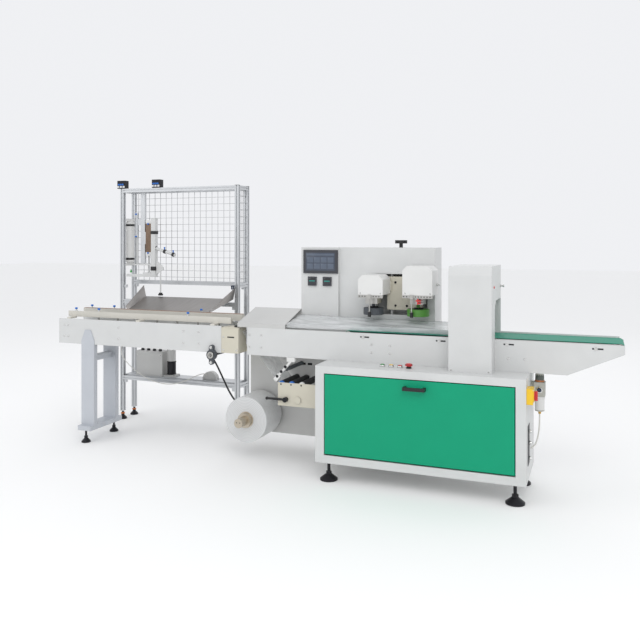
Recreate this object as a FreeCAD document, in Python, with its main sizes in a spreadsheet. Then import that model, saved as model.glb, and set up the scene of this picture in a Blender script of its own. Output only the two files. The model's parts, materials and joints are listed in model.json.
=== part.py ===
"""Horizontal flow wrapper with a lug-chain infeed and a pick-and-place feeder.

Millimetres. X runs with the product, Y from the operator's side to the back, Z up. The origin is on the
floor, under the middle of the machine's outline. Every size stands once in SIZES; places that follow
from them are the expressions below it.
"""
import FreeCAD, Part
import math
import os
import re
import Sketcher

os.makedirs("parts", exist_ok=True)
doc = FreeCAD.newDocument("flow_wrapper")

SIZES = {
    # base cabinet and its drop-down door
    "base_left": 181,
    "base_length": 1144,
    "base_depth": 449,
    "base_height": 543,
    "base_rise": 109,
    "base_sheet": 3,
    "door_side_margin": 52,
    "door_low_margin": 44,
    "door_top_margin": 42,
    "door_gap": 5,
    "door_drop": 8,
    "door_depth": 20,
    "door_sheet": 2,
    "hinge_inset": 6,
    "hinge_pin_radius": 4,
    "hinge_pin_length": 16,
    "handle_length": 120,
    "handle_reach": 41,
    "handle_grip": 14,
    "handle_height": 18,
    "handle_below_top": 32,
    # levelling feet
    "foot_inset": 60,
    "foot_pad_radius": 50,
    "foot_pad_edge": 8,
    "foot_dome_height": 26,
    "foot_dome_radius": 17,
    "foot_stem_radius": 9,
    "foot_nut_radius": 17,
    "foot_nut_height": 14,
    "slim_pad_radius": 30,
    "slim_dome_radius": 11,
    "slim_dome_height": 20,
    "slim_stem_radius": 7,
    "slim_nut_radius": 13,
    # product lane: side plates of the three conveyors
    "lane_back": -14,
    "lane_width": 254,
    "plate_sheet": 6,
    "plate_height": 168,
    "main_left": -346,
    "outfeed_length": 646,
    "outfeed_taper": 277,
    "outfeed_tip_height": 46,
    "infeed_left": -1790,
    "infeed_length": 1264,
    "deck_below_top": 30,
    "deck_sheet": 4,
    "belt_sheet": 2,
    "belt_gap": 6,
    "belt_proud": 8,
    "roller_radius": 17,
    "roller_journal": 8,
    "belt_left": 290,
    "belt_end_gap": 12,
    "belt_into_sealer": 60,
    # end sealer
    "sealer_left": 916,
    "sealer_length": 228,
    "sealer_front": -385,
    "sealer_height": 563,
    "sealer_bevel_height": 48,
    "sealer_bevel_depth": 13,
    "tunnel_height": 206,
    "tunnel_bevel": 45,
    "jaw_length": 60,
    "jaw_height": 60,
    "jaw_gap": 90,
    "jaw_top_gap": 6,
    # rear wall and control cabinet
    "rear_wall_left": -450,
    "rear_wall_length": 1214,
    "rear_wall_depth": 190,
    "rear_wall_rise": 120,
    "cabinet_length": 849,
    "cabinet_height": 490,
    "cabinet_skin": 3,
    "column_length": 249,
    "column_depth": 15,
    "screen_length": 228,
    "screen_height": 146,
    "screen_depth": 12,
    "screen_inset": 16,
    "controller_size": 56,
    "controller_depth": 10,
    "controller_pitch": 100,
    "controller_left": 48,
    "controller_drop": 184,
    "window_from_left": 487,
    "window_length": 318,
    "window_low": 86,
    "window_height": 245,
    "recess_side": 14,
    "recess_low": 26,
    "recess_top": 44,
    "recess_depth": 110,
    # head carriage on its guide rods and spindle
    "slide_gap": 5,
    "carriage_from_window": 68,
    "carriage_length": 220,
    "carriage_height": 200,
    "carriage_low": 29,
    "carriage_plate": 12,
    "guide_radius": 8,
    "guide_inset": 22,
    "guide_block": 32,
    "guide_block_height": 60,
    "spindle_from_window": 147,
    "spindle_radius": 8,
    "star_radius": 38,
    "star_height": 20,
    "star_stem_height": 25,
    "star_boss_radius": 15,
    "fit_clearance": 0.05,
    # sealing heads
    "cover_a_left": 342,
    "cover_a_length": 151,
    "cover_a_depth": 165,
    "cover_a_low": 1034,
    "cover_a_height": 116,
    "cover_b_left": 608,
    "cover_b_length": 176,
    "cover_b_depth": 156,
    "cover_b_low": 1038,
    "cover_b_height": 168,
    "cover_bevel": 26,
    "arm_height": 60,
    "arm_above_cover": 14,
    "arm_lap": 30,
    "housing_length": 74,
    "housing_depth": 92,
    "housing_height": 56,
    "wheel_axis_depth": 81,
    "wheel_a_radius": 60,
    "wheel_b_radius": 65,
    "wheel_thickness": 40,
    "wheel_low": 912,
    "wheel_shaft_radius": 10,
    "wheel_shaft_depth": 30,
    "lever_radius": 4,
    "lever_length": 80,
    "lever_knob_radius": 9,
    "lever_knob_height": 32,
    "strip_height": 18,
    "wheel_a_x": 411,
    "wheel_b_x": 683,
    "lever_a_x": 412,
    "lever_b_x": 662,
    "strip_sheet": 5,
    # film reel and roller unit
    "reel_x": -356,
    "reel_z": 251,
    "film_roll_radius": 140,
    "film_roll_length": 220,
    "film_roll_off_wall": 30,
    "reel_shaft_radius": 20,
    "reel_collar_radius": 44,
    "reel_collar_length": 30,
    "reel_end_radius": 28,
    "reel_end_length": 72,
    "reel_bearing_radius": 45,
    "reel_bearing_length": 24,
    "bracket_left": -140,
    "bracket_rise": 358,
    "bracket_height": 139,
    "bracket_sheet": 6,
    "bracket_setback": 4,
    "idler_from_left": 20,
    "idler_pitch": 66,
    "idler_radius": 19,
    "idler_pin_radius": 5,
    "idler_below_top": 10,
    "idler_end_gap": 3,
    "pin_depth": 14,
    "boss_radius": 21,
    "boss_depth": 8,
    "boss_from_left": 130,
    "lever_from_left": 54,
    "lever_rise": 40,
    "tension_hub_radius": 15,
    "tension_hub_length": 24,
    "tension_arm_radius": 7,
    "tension_arm_length": 115,
    "tension_pin_radius": 6,
    "running_gap": 0.3,
    "guide_bar_x": -87,
    "guide_bar_z": 578,
    "guide_bar_radius": 12,
    "guide_bar_length": 236,
    "sensor_x": -52,
    "sensor_angle": 48,
    "sensor_length": 170,
    "sensor_section": 26,
    "sensor_head": 44,
    # forming table and film
    "table_left": -413,
    "table_length": 322,
    "table_sheet": 3,
    "table_front_rise": 25,
    "table_back_rise": 101,
    "film_sheet": 1,
    "film_gap": 3,
    "film_inset": 22,
    "film_tube_inset": 36,
    "film_tube_height": 56,
    "film_tube_left": 560,
    "film_web_angle": 51,
    "film_web_length": 408,
    # infeed conveyor
    "chain_width": 16,
    "chain_height": 12,
    "chain_end_gap": 36,
    "chain_radius": 34,
    "chain_drop": 52,
    "lug_pitch": 158,
    "lug_sheet": 6,
    "lug_height": 46,
    "sprocket_width": 10,
    "sprocket_shaft_radius": 10,
    "bed_gap": 60,
    "rail_left": -1751,
    "rail_length": 1266,
    "rail_lift": 10,
    "front_rail_inset": 48,
    "front_rail_depth": 14,
    "front_rail_height": 38,
    "rear_rail_inset": 16,
    "rear_rail_depth": 34,
    "rear_rail_height": 44,
    "rail_clip_length": 30,
    "stand_left": -1597,
    "stand_length": 104,
    "stand_depth": 30,
    "stand_tab_sheet": 5,
    "stand_tab_height": 98,
    "stand_tab_tip": 46,
    "stand_tab_shoulder": 26,
    "stand_bar_rise": 536,
    "stand_bar_height": 38,
    "channel_rise": 80,
    "channel_height": 30,
    "channel_reach": 42,
    "bearing_x": -587,
    "bearing_z": 639,
    "bearing_radius": 33,
    "bearing_lobe_radius": 15,
    "bearing_bolt_pitch": 94,
    "bearing_depth": 22,
    "bearing_shaft_radius": 12,
    "bearing_boss_depth": 12,
    "transfer_left": -522,
    "transfer_length": 119,
    "transfer_front": -274,
    "transfer_depth": 105,
    "transfer_rise": 655,
    "transfer_height": 157,
    "link_lap": 30,
    "link_height": 20,
    # guard frame
    "guard_left": -1710,
    "guard_length": 980,
    "guard_front": 332,
    "guard_depth": 142,
    "guard_height": 1746,
    "guard_foot_rise": 60,
    "extrusion": 30,
    "extrusion_slot": 8,
    "extrusion_slot_depth": 6,
    "shelf_beam_rise": 300,
    "shelf_sheet": 5,
    "tray_beam_rise": 880,
    "mesh_beam_rise": 1018,
    "mesh_wire": 3,
    "mesh_pitch": 50,
    "mesh_edge": 12,
    "shelf_box_left": -1600,
    "shelf_box_length": 230,
    "shelf_box_depth": 110,
    "shelf_box_height": 185,
    "motor_x": -1323,
    "motor_radius": 31,
    "motor_height": 240,
    "motor_base": 90,
    "motor_base_height": 12,
    "dome_x": -987,
    "dome_radius": 58,
    "dome_depth": 40,
    # product tray
    "tray_front_y": 6,
    "tray_front_z": 863,
    "tray_front_left": -1428,
    "tray_front_length": 654,
    "tray_front_wall": 26,
    "tray_back_y": 311,
    "tray_back_z": 934,
    "tray_back_left": -1490,
    "tray_back_length": 738,
    "tray_back_wall": 84,
    "tray_flare": 18,
    "tray_sheet": 3,
    "tray_holder_reach": 110,
    # feeder unit
    "receiver_x": -1698,
    "receiver_radius": 33,
    "receiver_rise": 1180,
    "receiver_height": 320,
    "receiver_cap": 12,
    "receiver_clamp": 20,
    "column_left": -1582,
    "column_width": 38,
    "column_back": 397,
    "column_thickness": 20,
    "column_rise": 1181,
    "cylinder_x": -1620,
    "cylinder_radius": 12,
    "cylinder_rise": 1375,
    "cylinder_height": 190,
    "rod_radius": 6,
    "rod_lap": 40,
    "guided_left": -1536,
    "guided_length": 46,
    "guided_depth": 46,
    "guided_rise": 1238,
    "guided_height": 269,
    "guided_rod_pitch": 24,
    "guided_rod_lap": 100,
    "head_tube_left": -1455,
    "head_tube_width": 36,
    "head_tube_front": 327,
    "head_tube_rise": 1079,
    "head_tube_height": 440,
    "head_bar_height": 20,
    "head_bar_left": -1680,
    "head_plate_height": 12,
    "link_bar_rise": 1165,
    "link_bar_height": 10,
    "link_bar_depth": 8,
    "gusset_length": 66,
    "gusset_height": 110,
    "gusset_sheet": 8,
    "pusher_radius": 5,
    "pusher_from_tube": 40,
    "pusher_clear_tray": 6,
    "slant_length": 190,
    "slant_radius": 11,
    "slant_angle": 107,
    "valve_box_length": 70,
    "valve_box_depth": 46,
    "valve_box_height": 60,
    "second_valve_x": -1400,
    # right-hand side of the base
    "switch_below_top": 49,
    "switch_box_height": 79,
    "switch_box_depth": 80,
    "switch_box_length": 32,
    "switch_from_front": 8,
    "switch_knob_radius": 24,
    "switch_knob_length": 20,
    "switch_pin_radius": 4,
    "switch_pin_length": 12,
    "filter_x": 1370,
    "filter_y": -190,
    "filter_body_size": 58,
    "filter_body_rise": 520,
    "filter_body_height": 76,
    "filter_knob_radius": 22,
    "filter_knob_height": 45,
    "bowl_radius": 25,
    "bowl_height": 80,
    "bowl_fitting_radius": 7,
    "bowl_fitting_height": 16,
    "filter_arm_height": 30,
    # push buttons on the ledge of the base
    "button_first_x": 545,
    "button_pitch": 50,
    "button_y": -365,
    "button_radius": 15,
    "button_height": 12,
    "stop_radius": 20,
    "stop_neck_radius": 12,
    "stop_height": 26,
}

sheet = doc.addObject("Spreadsheet::Sheet", "Sizes")
for row, (alias, value) in enumerate(SIZES.items(), start=1):
    sheet.set(f"A{row}", str(value))
    sheet.setAlias(f"A{row}", alias)
doc.recompute()

# Places that follow from the sizes, as expressions of the sheet's names.
BASE_RIGHT = "(base_left + base_length)"
BASE_FRONT = "(lane_back - base_depth)"
LEDGE = "(base_rise + base_height)"
LANE_FRONT = "(lane_back - lane_width)"
LANE_CLEAR = "(lane_width - 2 * plate_sheet)"
PLATE_TOP = "(base_rise + base_height + plate_height)"
DOOR_LEFT = "(base_left + door_side_margin + door_gap)"
DOOR_LENGTH = "(base_length - 2 * door_side_margin - 2 * door_gap)"
DOOR_LOW = "(base_rise + door_low_margin + door_drop)"
DOOR_HEIGHT = "(base_height - door_low_margin - door_top_margin - door_drop - door_gap)"
SEALER_RIGHT = "(sealer_left + sealer_length)"
OUTFEED_RIGHT = "(sealer_left + sealer_length + outfeed_length)"
INFEED_RIGHT = "(infeed_left + infeed_length)"
BELT_TOP = f"({PLATE_TOP} + belt_proud)"
BELT_AXIS = f"({PLATE_TOP} + belt_proud - belt_sheet - roller_radius)"
WALL_RIGHT = "(rear_wall_left + rear_wall_length)"
CABINET_LEFT = "(rear_wall_left + rear_wall_length - cabinet_length)"
CABINET_TOP = f"({PLATE_TOP} + cabinet_height)"
WINDOW_LEFT = f"({CABINET_LEFT} + window_from_left)"
WINDOW_LOW = f"({PLATE_TOP} + window_low)"
CARRIAGE_LEFT = f"({WINDOW_LEFT} + carriage_from_window)"
CARRIAGE_FRONT = "(lane_back + cabinet_skin + slide_gap)"
CARRIAGE_BACK = "(lane_back + cabinet_skin + slide_gap + carriage_plate)"
CARRIAGE_LOW = f"({WINDOW_LOW} + carriage_low)"
GUIDE_Y = f"({CARRIAGE_BACK} + guide_block / 2)"
SPINDLE_X = f"({WINDOW_LEFT} + spindle_from_window)"
COVER_BACK = "(lane_back - slide_gap)"
WHEEL_Y = "(lane_back - wheel_axis_depth)"
BRACKET_FRONT = f"({LANE_FRONT} + bracket_setback)"
IDLER_Z = "(bracket_rise + bracket_height - idler_below_top)"
GUARD_RIGHT = "(guard_left + guard_length)"
GUARD_BACK = "(guard_front + guard_depth)"
SHELF_TOP = "(shelf_beam_rise + extrusion + shelf_sheet)"
GUIDED_FRONT = "(column_back - column_thickness)"
GUIDED_ROD_Y = f"({GUIDED_FRONT} + guided_depth / 2)"
HEAD_BACK = "(head_tube_front + head_tube_width)"


def tied(text):
    """The text with each size's name pointing at its cell of the sheet."""
    return re.sub(
        r"[a-z_]+",
        lambda found: "Sizes." + found.group() if found.group() in SIZES else found.group(),
        str(text),
    )


def number(text):
    """The value that an expression of the sheet has now."""
    return float(sheet.evalExpression(tied(text)))


def bind(thing, **expressions):
    """Bind properties of a feature to expressions of the sheet."""
    for prop, expression in expressions.items():
        thing.setExpression(prop, tied(expression))
    return thing


def put(thing, corner, turn=None):
    """Bind a feature's place, after an optional turn given as (axis, angle in degrees)."""
    if turn:
        axis, angle = turn
        thing.Placement = FreeCAD.Placement(FreeCAD.Vector(), FreeCAD.Rotation(FreeCAD.Vector(*axis), angle))
    for letter, expression in zip("xyz", corner):
        thing.setExpression(f"Placement.Base.{letter}", tied(expression))
    return thing


def box(name, corner, lengths):
    """A block from its lowest corner and its lengths along X, Y and Z."""
    made = doc.addObject("Part::Box", name)
    bind(made, Length=lengths[0], Width=lengths[1], Height=lengths[2])
    return put(made, corner)


TURNS = {"Z": None, "X": ((0, 1, 0), 90), "Y": ((1, 0, 0), -90)}


def rod(name, centre, radius, length, along="Z"):
    """A round bar whose first end is centred on a point and which runs along +X, +Y or +Z."""
    made = doc.addObject("Part::Cylinder", name)
    bind(made, Radius=radius, Height=length)
    return put(made, centre, TURNS[along])


def joined(name, *parts):
    """The union of several features; parts that don't touch stay separate solids."""
    made = doc.addObject("Part::MultiFuse", name)
    made.Shapes = list(parts)
    return made


def cut(name, base, *tools):
    """The first feature less the others."""
    made = doc.addObject("Part::Cut", name)
    made.Base = base
    made.Tool = tools[0] if len(tools) == 1 else joined(name + "_tools", *tools)
    return made


def outline_sketch(sketch, corners):
    """Draw a closed outline of straight edges and tie each corner to the sheet."""
    points = [FreeCAD.Vector(number(across), number(up), 0) for across, up in corners]
    count = len(points)
    for index, point in enumerate(points):
        sketch.addGeometry(Part.LineSegment(point, points[(index + 1) % count]))
    for index in range(count):
        sketch.addConstraint(Sketcher.Constraint("Coincident", index, 2, (index + 1) % count, 1))
    for index, corner in enumerate(corners):
        for kind, expression in zip(("DistanceX", "DistanceY"), corner):
            datum = sketch.addConstraint(Sketcher.Constraint(kind, -1, 1, index, 1, number(expression)))
            sketch.setExpression(f"Constraints[{datum}]", tied(expression))


def profile(name, plane, corners, depth, place):
    """A PartDesign body: an outline on one of its origin planes, padded (XZ pads towards -Y)."""
    body = doc.addObject("PartDesign::Body", name)
    sketch = body.newObject("Sketcher::SketchObject", name + "_outline")
    base_plane = next(item for item in body.Origin.OriginFeatures if item.Role == plane)
    sketch.AttachmentSupport = [(base_plane, "")]
    sketch.MapMode = "FlatFace"
    outline_sketch(sketch, corners)
    pad = body.newObject("PartDesign::Pad", name + "_pad")
    pad.Profile = sketch
    bind(pad, Length=depth)
    return put(body, place)


def turned(name, corners, place, turn=None):
    """A PartDesign body: an outline of (radius, height) corners revolved about its own upright axis."""
    body = doc.addObject("PartDesign::Body", name)
    sketch = body.newObject("Sketcher::SketchObject", name + "_outline")
    base_plane = next(item for item in body.Origin.OriginFeatures if item.Role == "XZ_Plane")
    sketch.AttachmentSupport = [(base_plane, "")]
    sketch.MapMode = "FlatFace"
    outline_sketch(sketch, corners)
    spin = body.newObject("PartDesign::Revolution", name + "_spin")
    spin.Profile = sketch
    spin.ReferenceAxis = (sketch, ["V_Axis"])
    spin.Angle = 360
    return put(body, place, turn)


NODES = []


def node(name, made):
    """Label a finished sub-part; its label names its file."""
    made.Label = name
    NODES.append(made)
    return made


def levelling_foot(name, centre, rise, pad_radius, dome_radius, dome_height, stem_radius, nut_radius):
    """A domed pad with its threaded stem and lock nut, as tall as the gap it fills."""
    x, y = centre
    pad = turned(
        name + "_pad",
        [
            (0, 0),
            (pad_radius, 0),
            (pad_radius, "foot_pad_edge"),
            (dome_radius, f"foot_pad_edge + {dome_height}"),
            (0, f"foot_pad_edge + {dome_height}"),
        ],
        (x, y, 0),
    )
    stem = rod(name + "_stem", (x, y, f"foot_pad_edge + {dome_height}"), stem_radius,
               f"{rise} - foot_pad_edge - {dome_height}")
    nut = doc.addObject("Part::Prism", name + "_nut")
    nut.Polygon = 6
    bind(nut, Circumradius=nut_radius, Height="foot_nut_height")
    put(nut, (x, y, f"foot_pad_edge + {dome_height}"))
    return joined(name, pad, stem, nut)


def base_cabinet():
    """The hollow sheet base: a box with a framed front, a door opening and holes for the hinge pins."""
    shell = box("base_outside", ("base_left", BASE_FRONT, "base_rise"),
                ("base_length", "base_depth", "base_height"))
    inside = box("base_inside",
                 ("base_left + base_sheet", f"{BASE_FRONT} + door_depth", "base_rise + base_sheet"),
                 ("base_length - 2 * base_sheet", "base_depth - door_depth - base_sheet",
                  "base_height - 2 * base_sheet"))
    doorway = box("base_doorway",
                  ("base_left + door_side_margin", f"{BASE_FRONT} - base_sheet",
                   "base_rise + door_low_margin"),
                  ("base_length - 2 * door_side_margin", "door_depth + 2 * base_sheet",
                   "base_height - door_low_margin - door_top_margin"))
    pin_hole = rod("base_pin_hole",
                   (f"{DOOR_LEFT} - door_gap - hinge_pin_length",
                    f"{BASE_FRONT} + hinge_inset", f"{DOOR_LOW} + hinge_inset"),
                   "hinge_pin_radius + fit_clearance",
                   f"{DOOR_LENGTH} + 2 * door_gap + 2 * hinge_pin_length", "X")
    switch_hole = rod("base_switch_hole",
                      (f"{BASE_RIGHT} - 2 * base_sheet", *SWITCH_CENTRE),
                      "switch_pin_radius + fit_clearance", "4 * base_sheet", "X")
    node("base_cabinet", cut("base_body", shell, inside, doorway, pin_hole, switch_hole))


def base_door():
    """The door: a folded tray on two pins at its lower edge, and its bridge handle."""
    panel = box("door_panel", (DOOR_LEFT, BASE_FRONT, DOOR_LOW),
                (DOOR_LENGTH, "door_depth - door_sheet", DOOR_HEIGHT))
    pocket = box("door_pocket",
                 (f"{DOOR_LEFT} + door_sheet", f"{BASE_FRONT} + door_sheet",
                  f"{DOOR_LOW} + 2 * hinge_inset"),
                 (f"{DOOR_LENGTH} - 2 * door_sheet", "door_depth",
                  f"{DOOR_HEIGHT} - 2 * hinge_inset - door_sheet"))
    pin = rod("door_pin",
              (f"{DOOR_LEFT} - door_gap - hinge_pin_length + door_sheet",
               f"{BASE_FRONT} + hinge_inset", f"{DOOR_LOW} + hinge_inset"),
              "hinge_pin_radius",
              f"{DOOR_LENGTH} + 2 * door_gap + 2 * hinge_pin_length - 2 * door_sheet", "X")
    node("base_door", joined("door_leaf", cut("door_tray", panel, pocket), pin))

    left = f"({DOOR_LEFT} + {DOOR_LENGTH} / 2 - handle_length / 2)"
    low = f"({DOOR_LOW} + {DOOR_HEIGHT} - handle_below_top - handle_height)"
    bow = box("handle_bow", (left, f"{BASE_FRONT} - handle_reach", low),
              ("handle_length", "handle_reach", "handle_height"))
    grip_gap = box("handle_gap",
                   (f"{left} + handle_grip", f"{BASE_FRONT} - handle_reach + handle_grip", f"{low} - 1"),
                   ("handle_length - 2 * handle_grip", "handle_reach", "handle_height + 2"))
    node("door_handle", cut("handle_bridge", bow, grip_gap))


def machine_feet():
    """Four feet under the base and two under the rear wall."""
    front_y = f"({BASE_FRONT} + foot_inset)"
    back_y = "(lane_back - foot_inset)"
    wall_y = "(lane_back + rear_wall_depth - foot_inset)"
    left = "(base_left + foot_inset)"
    right = f"({BASE_RIGHT} - foot_inset)"
    spots = [
        (left, front_y, "base_rise"),
        (right, front_y, "base_rise"),
        (left, back_y, "base_rise"),
        (right, back_y, "base_rise"),
        (left, wall_y, "rear_wall_rise"),
        (f"({WALL_RIGHT} - foot_inset)", wall_y, "rear_wall_rise"),
    ]
    feet = [
        levelling_foot(f"machine_foot_{index}", (x, y), rise, "foot_pad_radius", "foot_dome_radius",
                       "foot_dome_height", "foot_stem_radius", "foot_nut_radius")
        for index, (x, y, rise) in enumerate(spots, start=1)
    ]
    node("machine_feet", joined("feet_set", *feet))


def push_buttons():
    """Three flush buttons and a mushroom stop button on the ledge."""
    buttons = [
        rod(f"button_{index}", (f"button_first_x + {index} * button_pitch", "button_y", LEDGE),
            "button_radius", "button_height")
        for index in range(3)
    ]
    stop = turned(
        "stop_button",
        [
            (0, 0),
            ("button_radius", 0),
            ("button_radius", "button_height / 2"),
            ("stop_neck_radius", "button_height / 2"),
            ("stop_neck_radius", "stop_height / 2"),
            ("stop_radius", "stop_height / 2 + 2"),
            ("stop_radius", "stop_height - 4"),
            ("stop_neck_radius", "stop_height"),
            (0, "stop_height"),
        ],
        ("button_first_x + 3 * button_pitch", "button_y", LEDGE),
    )
    node("push_buttons", joined("button_row", *buttons, stop))


def rear_wall():
    """The closed wall behind the lane, with blind bores for the reel shaft and the idler pins."""
    wall = box("wall_body", ("rear_wall_left", "lane_back", "rear_wall_rise"),
               ("rear_wall_length", "rear_wall_depth", f"{PLATE_TOP} - rear_wall_rise"))
    bores = [
        rod(f"wall_bore_{index}", (idler_x(index), "lane_back - 1", IDLER_Z),
            "idler_pin_radius + fit_clearance", "pin_depth + 1", "Y")
        for index in range(3)
    ]
    node("rear_wall", cut("wall_bored", wall, *bores))


def control_cabinet():
    """The cabinet on the rear wall, with a window in its front skin and a recess behind it."""
    body = box("cabinet_body", (CABINET_LEFT, "lane_back", PLATE_TOP),
               ("cabinet_length", "rear_wall_depth", "cabinet_height"))
    window = box("cabinet_window", (WINDOW_LEFT, "lane_back - 1", WINDOW_LOW),
                 ("window_length", "cabinet_skin + 2", "window_height"))
    recess = box("cabinet_recess",
                 (f"{WINDOW_LEFT} - recess_side", "lane_back + cabinet_skin",
                  f"{WINDOW_LOW} - recess_low"),
                 ("window_length + 2 * recess_side", "recess_depth",
                  "window_height + recess_low + recess_top"))
    spindle_hole = rod("cabinet_spindle_hole",
                       (SPINDLE_X, GUIDE_Y, f"{WINDOW_LOW} + window_height"),
                       "spindle_radius + fit_clearance",
                       f"{CABINET_TOP} - {WINDOW_LOW} - window_height + 1")
    column = box("column_body", (CABINET_LEFT, "lane_back - column_depth", PLATE_TOP),
                 ("column_length", "column_depth", "cabinet_height"))
    guides = [
        rod(f"guide_rod_{index}", (x, GUIDE_Y, f"{WINDOW_LOW} - recess_low"), "guide_radius",
            "window_height + recess_low + recess_top")
        for index, x in enumerate(guide_places())
    ]
    node("control_cabinet", joined("cabinet_whole", cut("cabinet_cut", body, window, recess, spindle_hole),
                                   column, *guides))

    column_front = "(lane_back - column_depth)"
    screen_left = f"({CABINET_LEFT} + column_length / 2 - screen_length / 2 + 8)"
    screen_low = f"({CABINET_TOP} - screen_inset - screen_height)"
    screen = box("screen_body", (screen_left, f"{column_front} - screen_depth", screen_low),
                 ("screen_length", "screen_depth", "screen_height"))
    controllers = [
        box(f"controller_{index}",
            (f"{CABINET_LEFT} + controller_left + {index} * controller_pitch",
             f"{column_front} - controller_depth", f"{CABINET_TOP} - controller_drop - controller_size"),
            ("controller_size", "controller_depth", "controller_size"))
        for index in range(2)
    ]
    node("operator_panels", joined("panel_set", screen, *controllers))


def guide_places():
    """X of the two guide rods, from the ends of the carriage plate."""
    return (f"({CARRIAGE_LEFT} + guide_inset)", f"({CARRIAGE_LEFT} + carriage_length - guide_inset)")


def head_carriage():
    """The sliding plate with its bearing blocks and spindle nut, and the two arms to the heads."""
    plate = box("carriage_slab", (CARRIAGE_LEFT, CARRIAGE_FRONT, CARRIAGE_LOW),
                ("carriage_length", "carriage_plate", "carriage_height"))
    block_low = f"({CARRIAGE_LOW} + carriage_height / 2 - guide_block_height / 2)"
    blocks = []
    bores = []
    for index, x in enumerate((*guide_places(), SPINDLE_X)):
        blocks.append(box(f"carriage_block_{index}", (f"{x} - guide_block / 2", CARRIAGE_BACK, block_low),
                          ("guide_block", "guide_block", "guide_block_height")))
        bores.append(rod(f"carriage_bore_{index}", (x, GUIDE_Y, f"{block_low} - 1"),
                         "guide_radius + fit_clearance" if index < 2 else "spindle_radius + fit_clearance",
                         "guide_block_height + 2"))
    slide = cut("carriage_body", joined("carriage_solid", plate, *blocks), *bores)
    depth = f"({CARRIAGE_FRONT} - {COVER_BACK})"
    arm_a = box("arm_a", (f"{WINDOW_LEFT} + 2 * slide_gap", COVER_BACK, "cover_a_low + arm_above_cover"),
                (f"{CARRIAGE_LEFT} + arm_lap - {WINDOW_LEFT} - 2 * slide_gap", depth, "arm_height"))
    arm_b = box("arm_b", ("cover_b_left + arm_above_cover", COVER_BACK, "cover_b_low + arm_above_cover"),
                (f"{WINDOW_LEFT} + window_length - slide_gap - cover_b_left - arm_above_cover", depth,
                 "arm_height"))
    node("carriage_plate", joined("carriage_whole", slide, arm_a, arm_b))


def height_knob():
    """The star knob over the cabinet and the spindle that it turns, in one piece."""
    spindle = rod("knob_spindle", (SPINDLE_X, GUIDE_Y, f"{CARRIAGE_LOW} + guide_inset"), "spindle_radius",
                  f"{CABINET_TOP} + star_stem_height - {CARRIAGE_LOW} - guide_inset")
    collar = rod("knob_collar", (SPINDLE_X, GUIDE_Y, f"{CABINET_TOP} + running_gap"), "star_boss_radius - 4",
                 "star_stem_height - running_gap")
    boss = rod("knob_boss", (SPINDLE_X, GUIDE_Y, f"{CABINET_TOP} + star_stem_height"), "star_boss_radius",
               "star_height")
    arms = []
    for index in range(5):
        angle = math.radians(72 * index)
        reach = f"(star_radius - 10) * {math.cos(angle):.6f}", f"(star_radius - 10) * {math.sin(angle):.6f}"
        arms.append(rod(f"knob_lobe_{index}",
                        (f"{SPINDLE_X} + {reach[0]}", f"{GUIDE_Y} + {reach[1]}",
                         f"{CABINET_TOP} + star_stem_height"), 10, "star_height"))
    web = rod("knob_web", (SPINDLE_X, GUIDE_Y, f"{CABINET_TOP} + star_stem_height"), "star_radius - 12",
              "star_height - 4")
    node("height_knob", joined("knob_solid", spindle, collar, boss, web, *arms))


def head(letter, wheel_x, lever_x):
    """One head: its cover, what hangs below it and the wheel on its upright shaft."""
    left, length = f"cover_{letter}_left", f"cover_{letter}_length"
    depth, low, height = f"cover_{letter}_depth", f"cover_{letter}_low", f"cover_{letter}_height"
    node(f"head_cover_{letter}", profile(
        f"cover_{letter}", "XZ_Plane",
        [
            (0, 0),
            (length, 0),
            (length, f"{height} - cover_bevel"),
            (f"{length} - cover_bevel", height),
            ("cover_bevel", height),
            (0, f"{height} - cover_bevel"),
        ],
        depth, (left, COVER_BACK, low)))

    housing = box(f"housing_{letter}", (f"{wheel_x} - housing_length / 2", f"{WHEEL_Y} - housing_depth / 2",
                                        f"{low} - housing_height"),
                  ("housing_length", "housing_depth", "housing_height"))
    bore = rod(f"housing_bore_{letter}", (wheel_x, WHEEL_Y, f"{low} - housing_height - 1"),
               "wheel_shaft_radius + fit_clearance", "wheel_shaft_depth + 2")
    front = f"({COVER_BACK} - {depth})"
    strip = box(f"strip_{letter}", (left, front, f"{low} - strip_height"),
                (length, "strip_sheet", "strip_height"))
    lever_top = f"({low} - strip_height)"
    lever_y = f"({front} + strip_sheet / 2)"
    lever = rod(f"lever_{letter}", (lever_x, lever_y, f"{lever_top} - lever_length"), "lever_radius",
                f"lever_length + strip_height")
    grip = rod(f"lever_grip_{letter}", (lever_x, lever_y, f"{lever_top} - lever_length - lever_knob_height"),
               "lever_knob_radius", "lever_knob_height")
    node(f"head_fittings_{letter}", joined(f"fittings_{letter}", cut(f"housing_cut_{letter}", housing, bore),
                                           strip, lever, grip))

    wheel = rod(f"wheel_disc_{letter}", (wheel_x, WHEEL_Y, "wheel_low"), f"wheel_{letter}_radius",
                "wheel_thickness")
    shaft = rod(f"wheel_shaft_{letter}", (wheel_x, WHEEL_Y, "wheel_low + wheel_thickness"),
                "wheel_shaft_radius", f"{low} - housing_height + wheel_shaft_depth - wheel_low - wheel_thickness")
    node(f"seal_wheel_{letter}", joined(f"wheel_{letter}", wheel, shaft))


def side_plates(name, corners, left):
    """A front and a back lane plate of one outline, and the deck sheet that ties them."""
    back = profile(f"{name}_back", "XZ_Plane", corners, "plate_sheet", (left, "lane_back", LEDGE))
    front = profile(f"{name}_front", "XZ_Plane", corners, "plate_sheet",
                    (left, f"{LANE_FRONT} + plate_sheet", LEDGE))
    return front, back


def deck(name, left, length):
    """The slider sheet between a pair of lane plates."""
    return box(name, (left, f"{LANE_FRONT} + plate_sheet", f"{BELT_AXIS} - deck_sheet / 2"),
               (length, LANE_CLEAR, "deck_sheet"))


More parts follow.
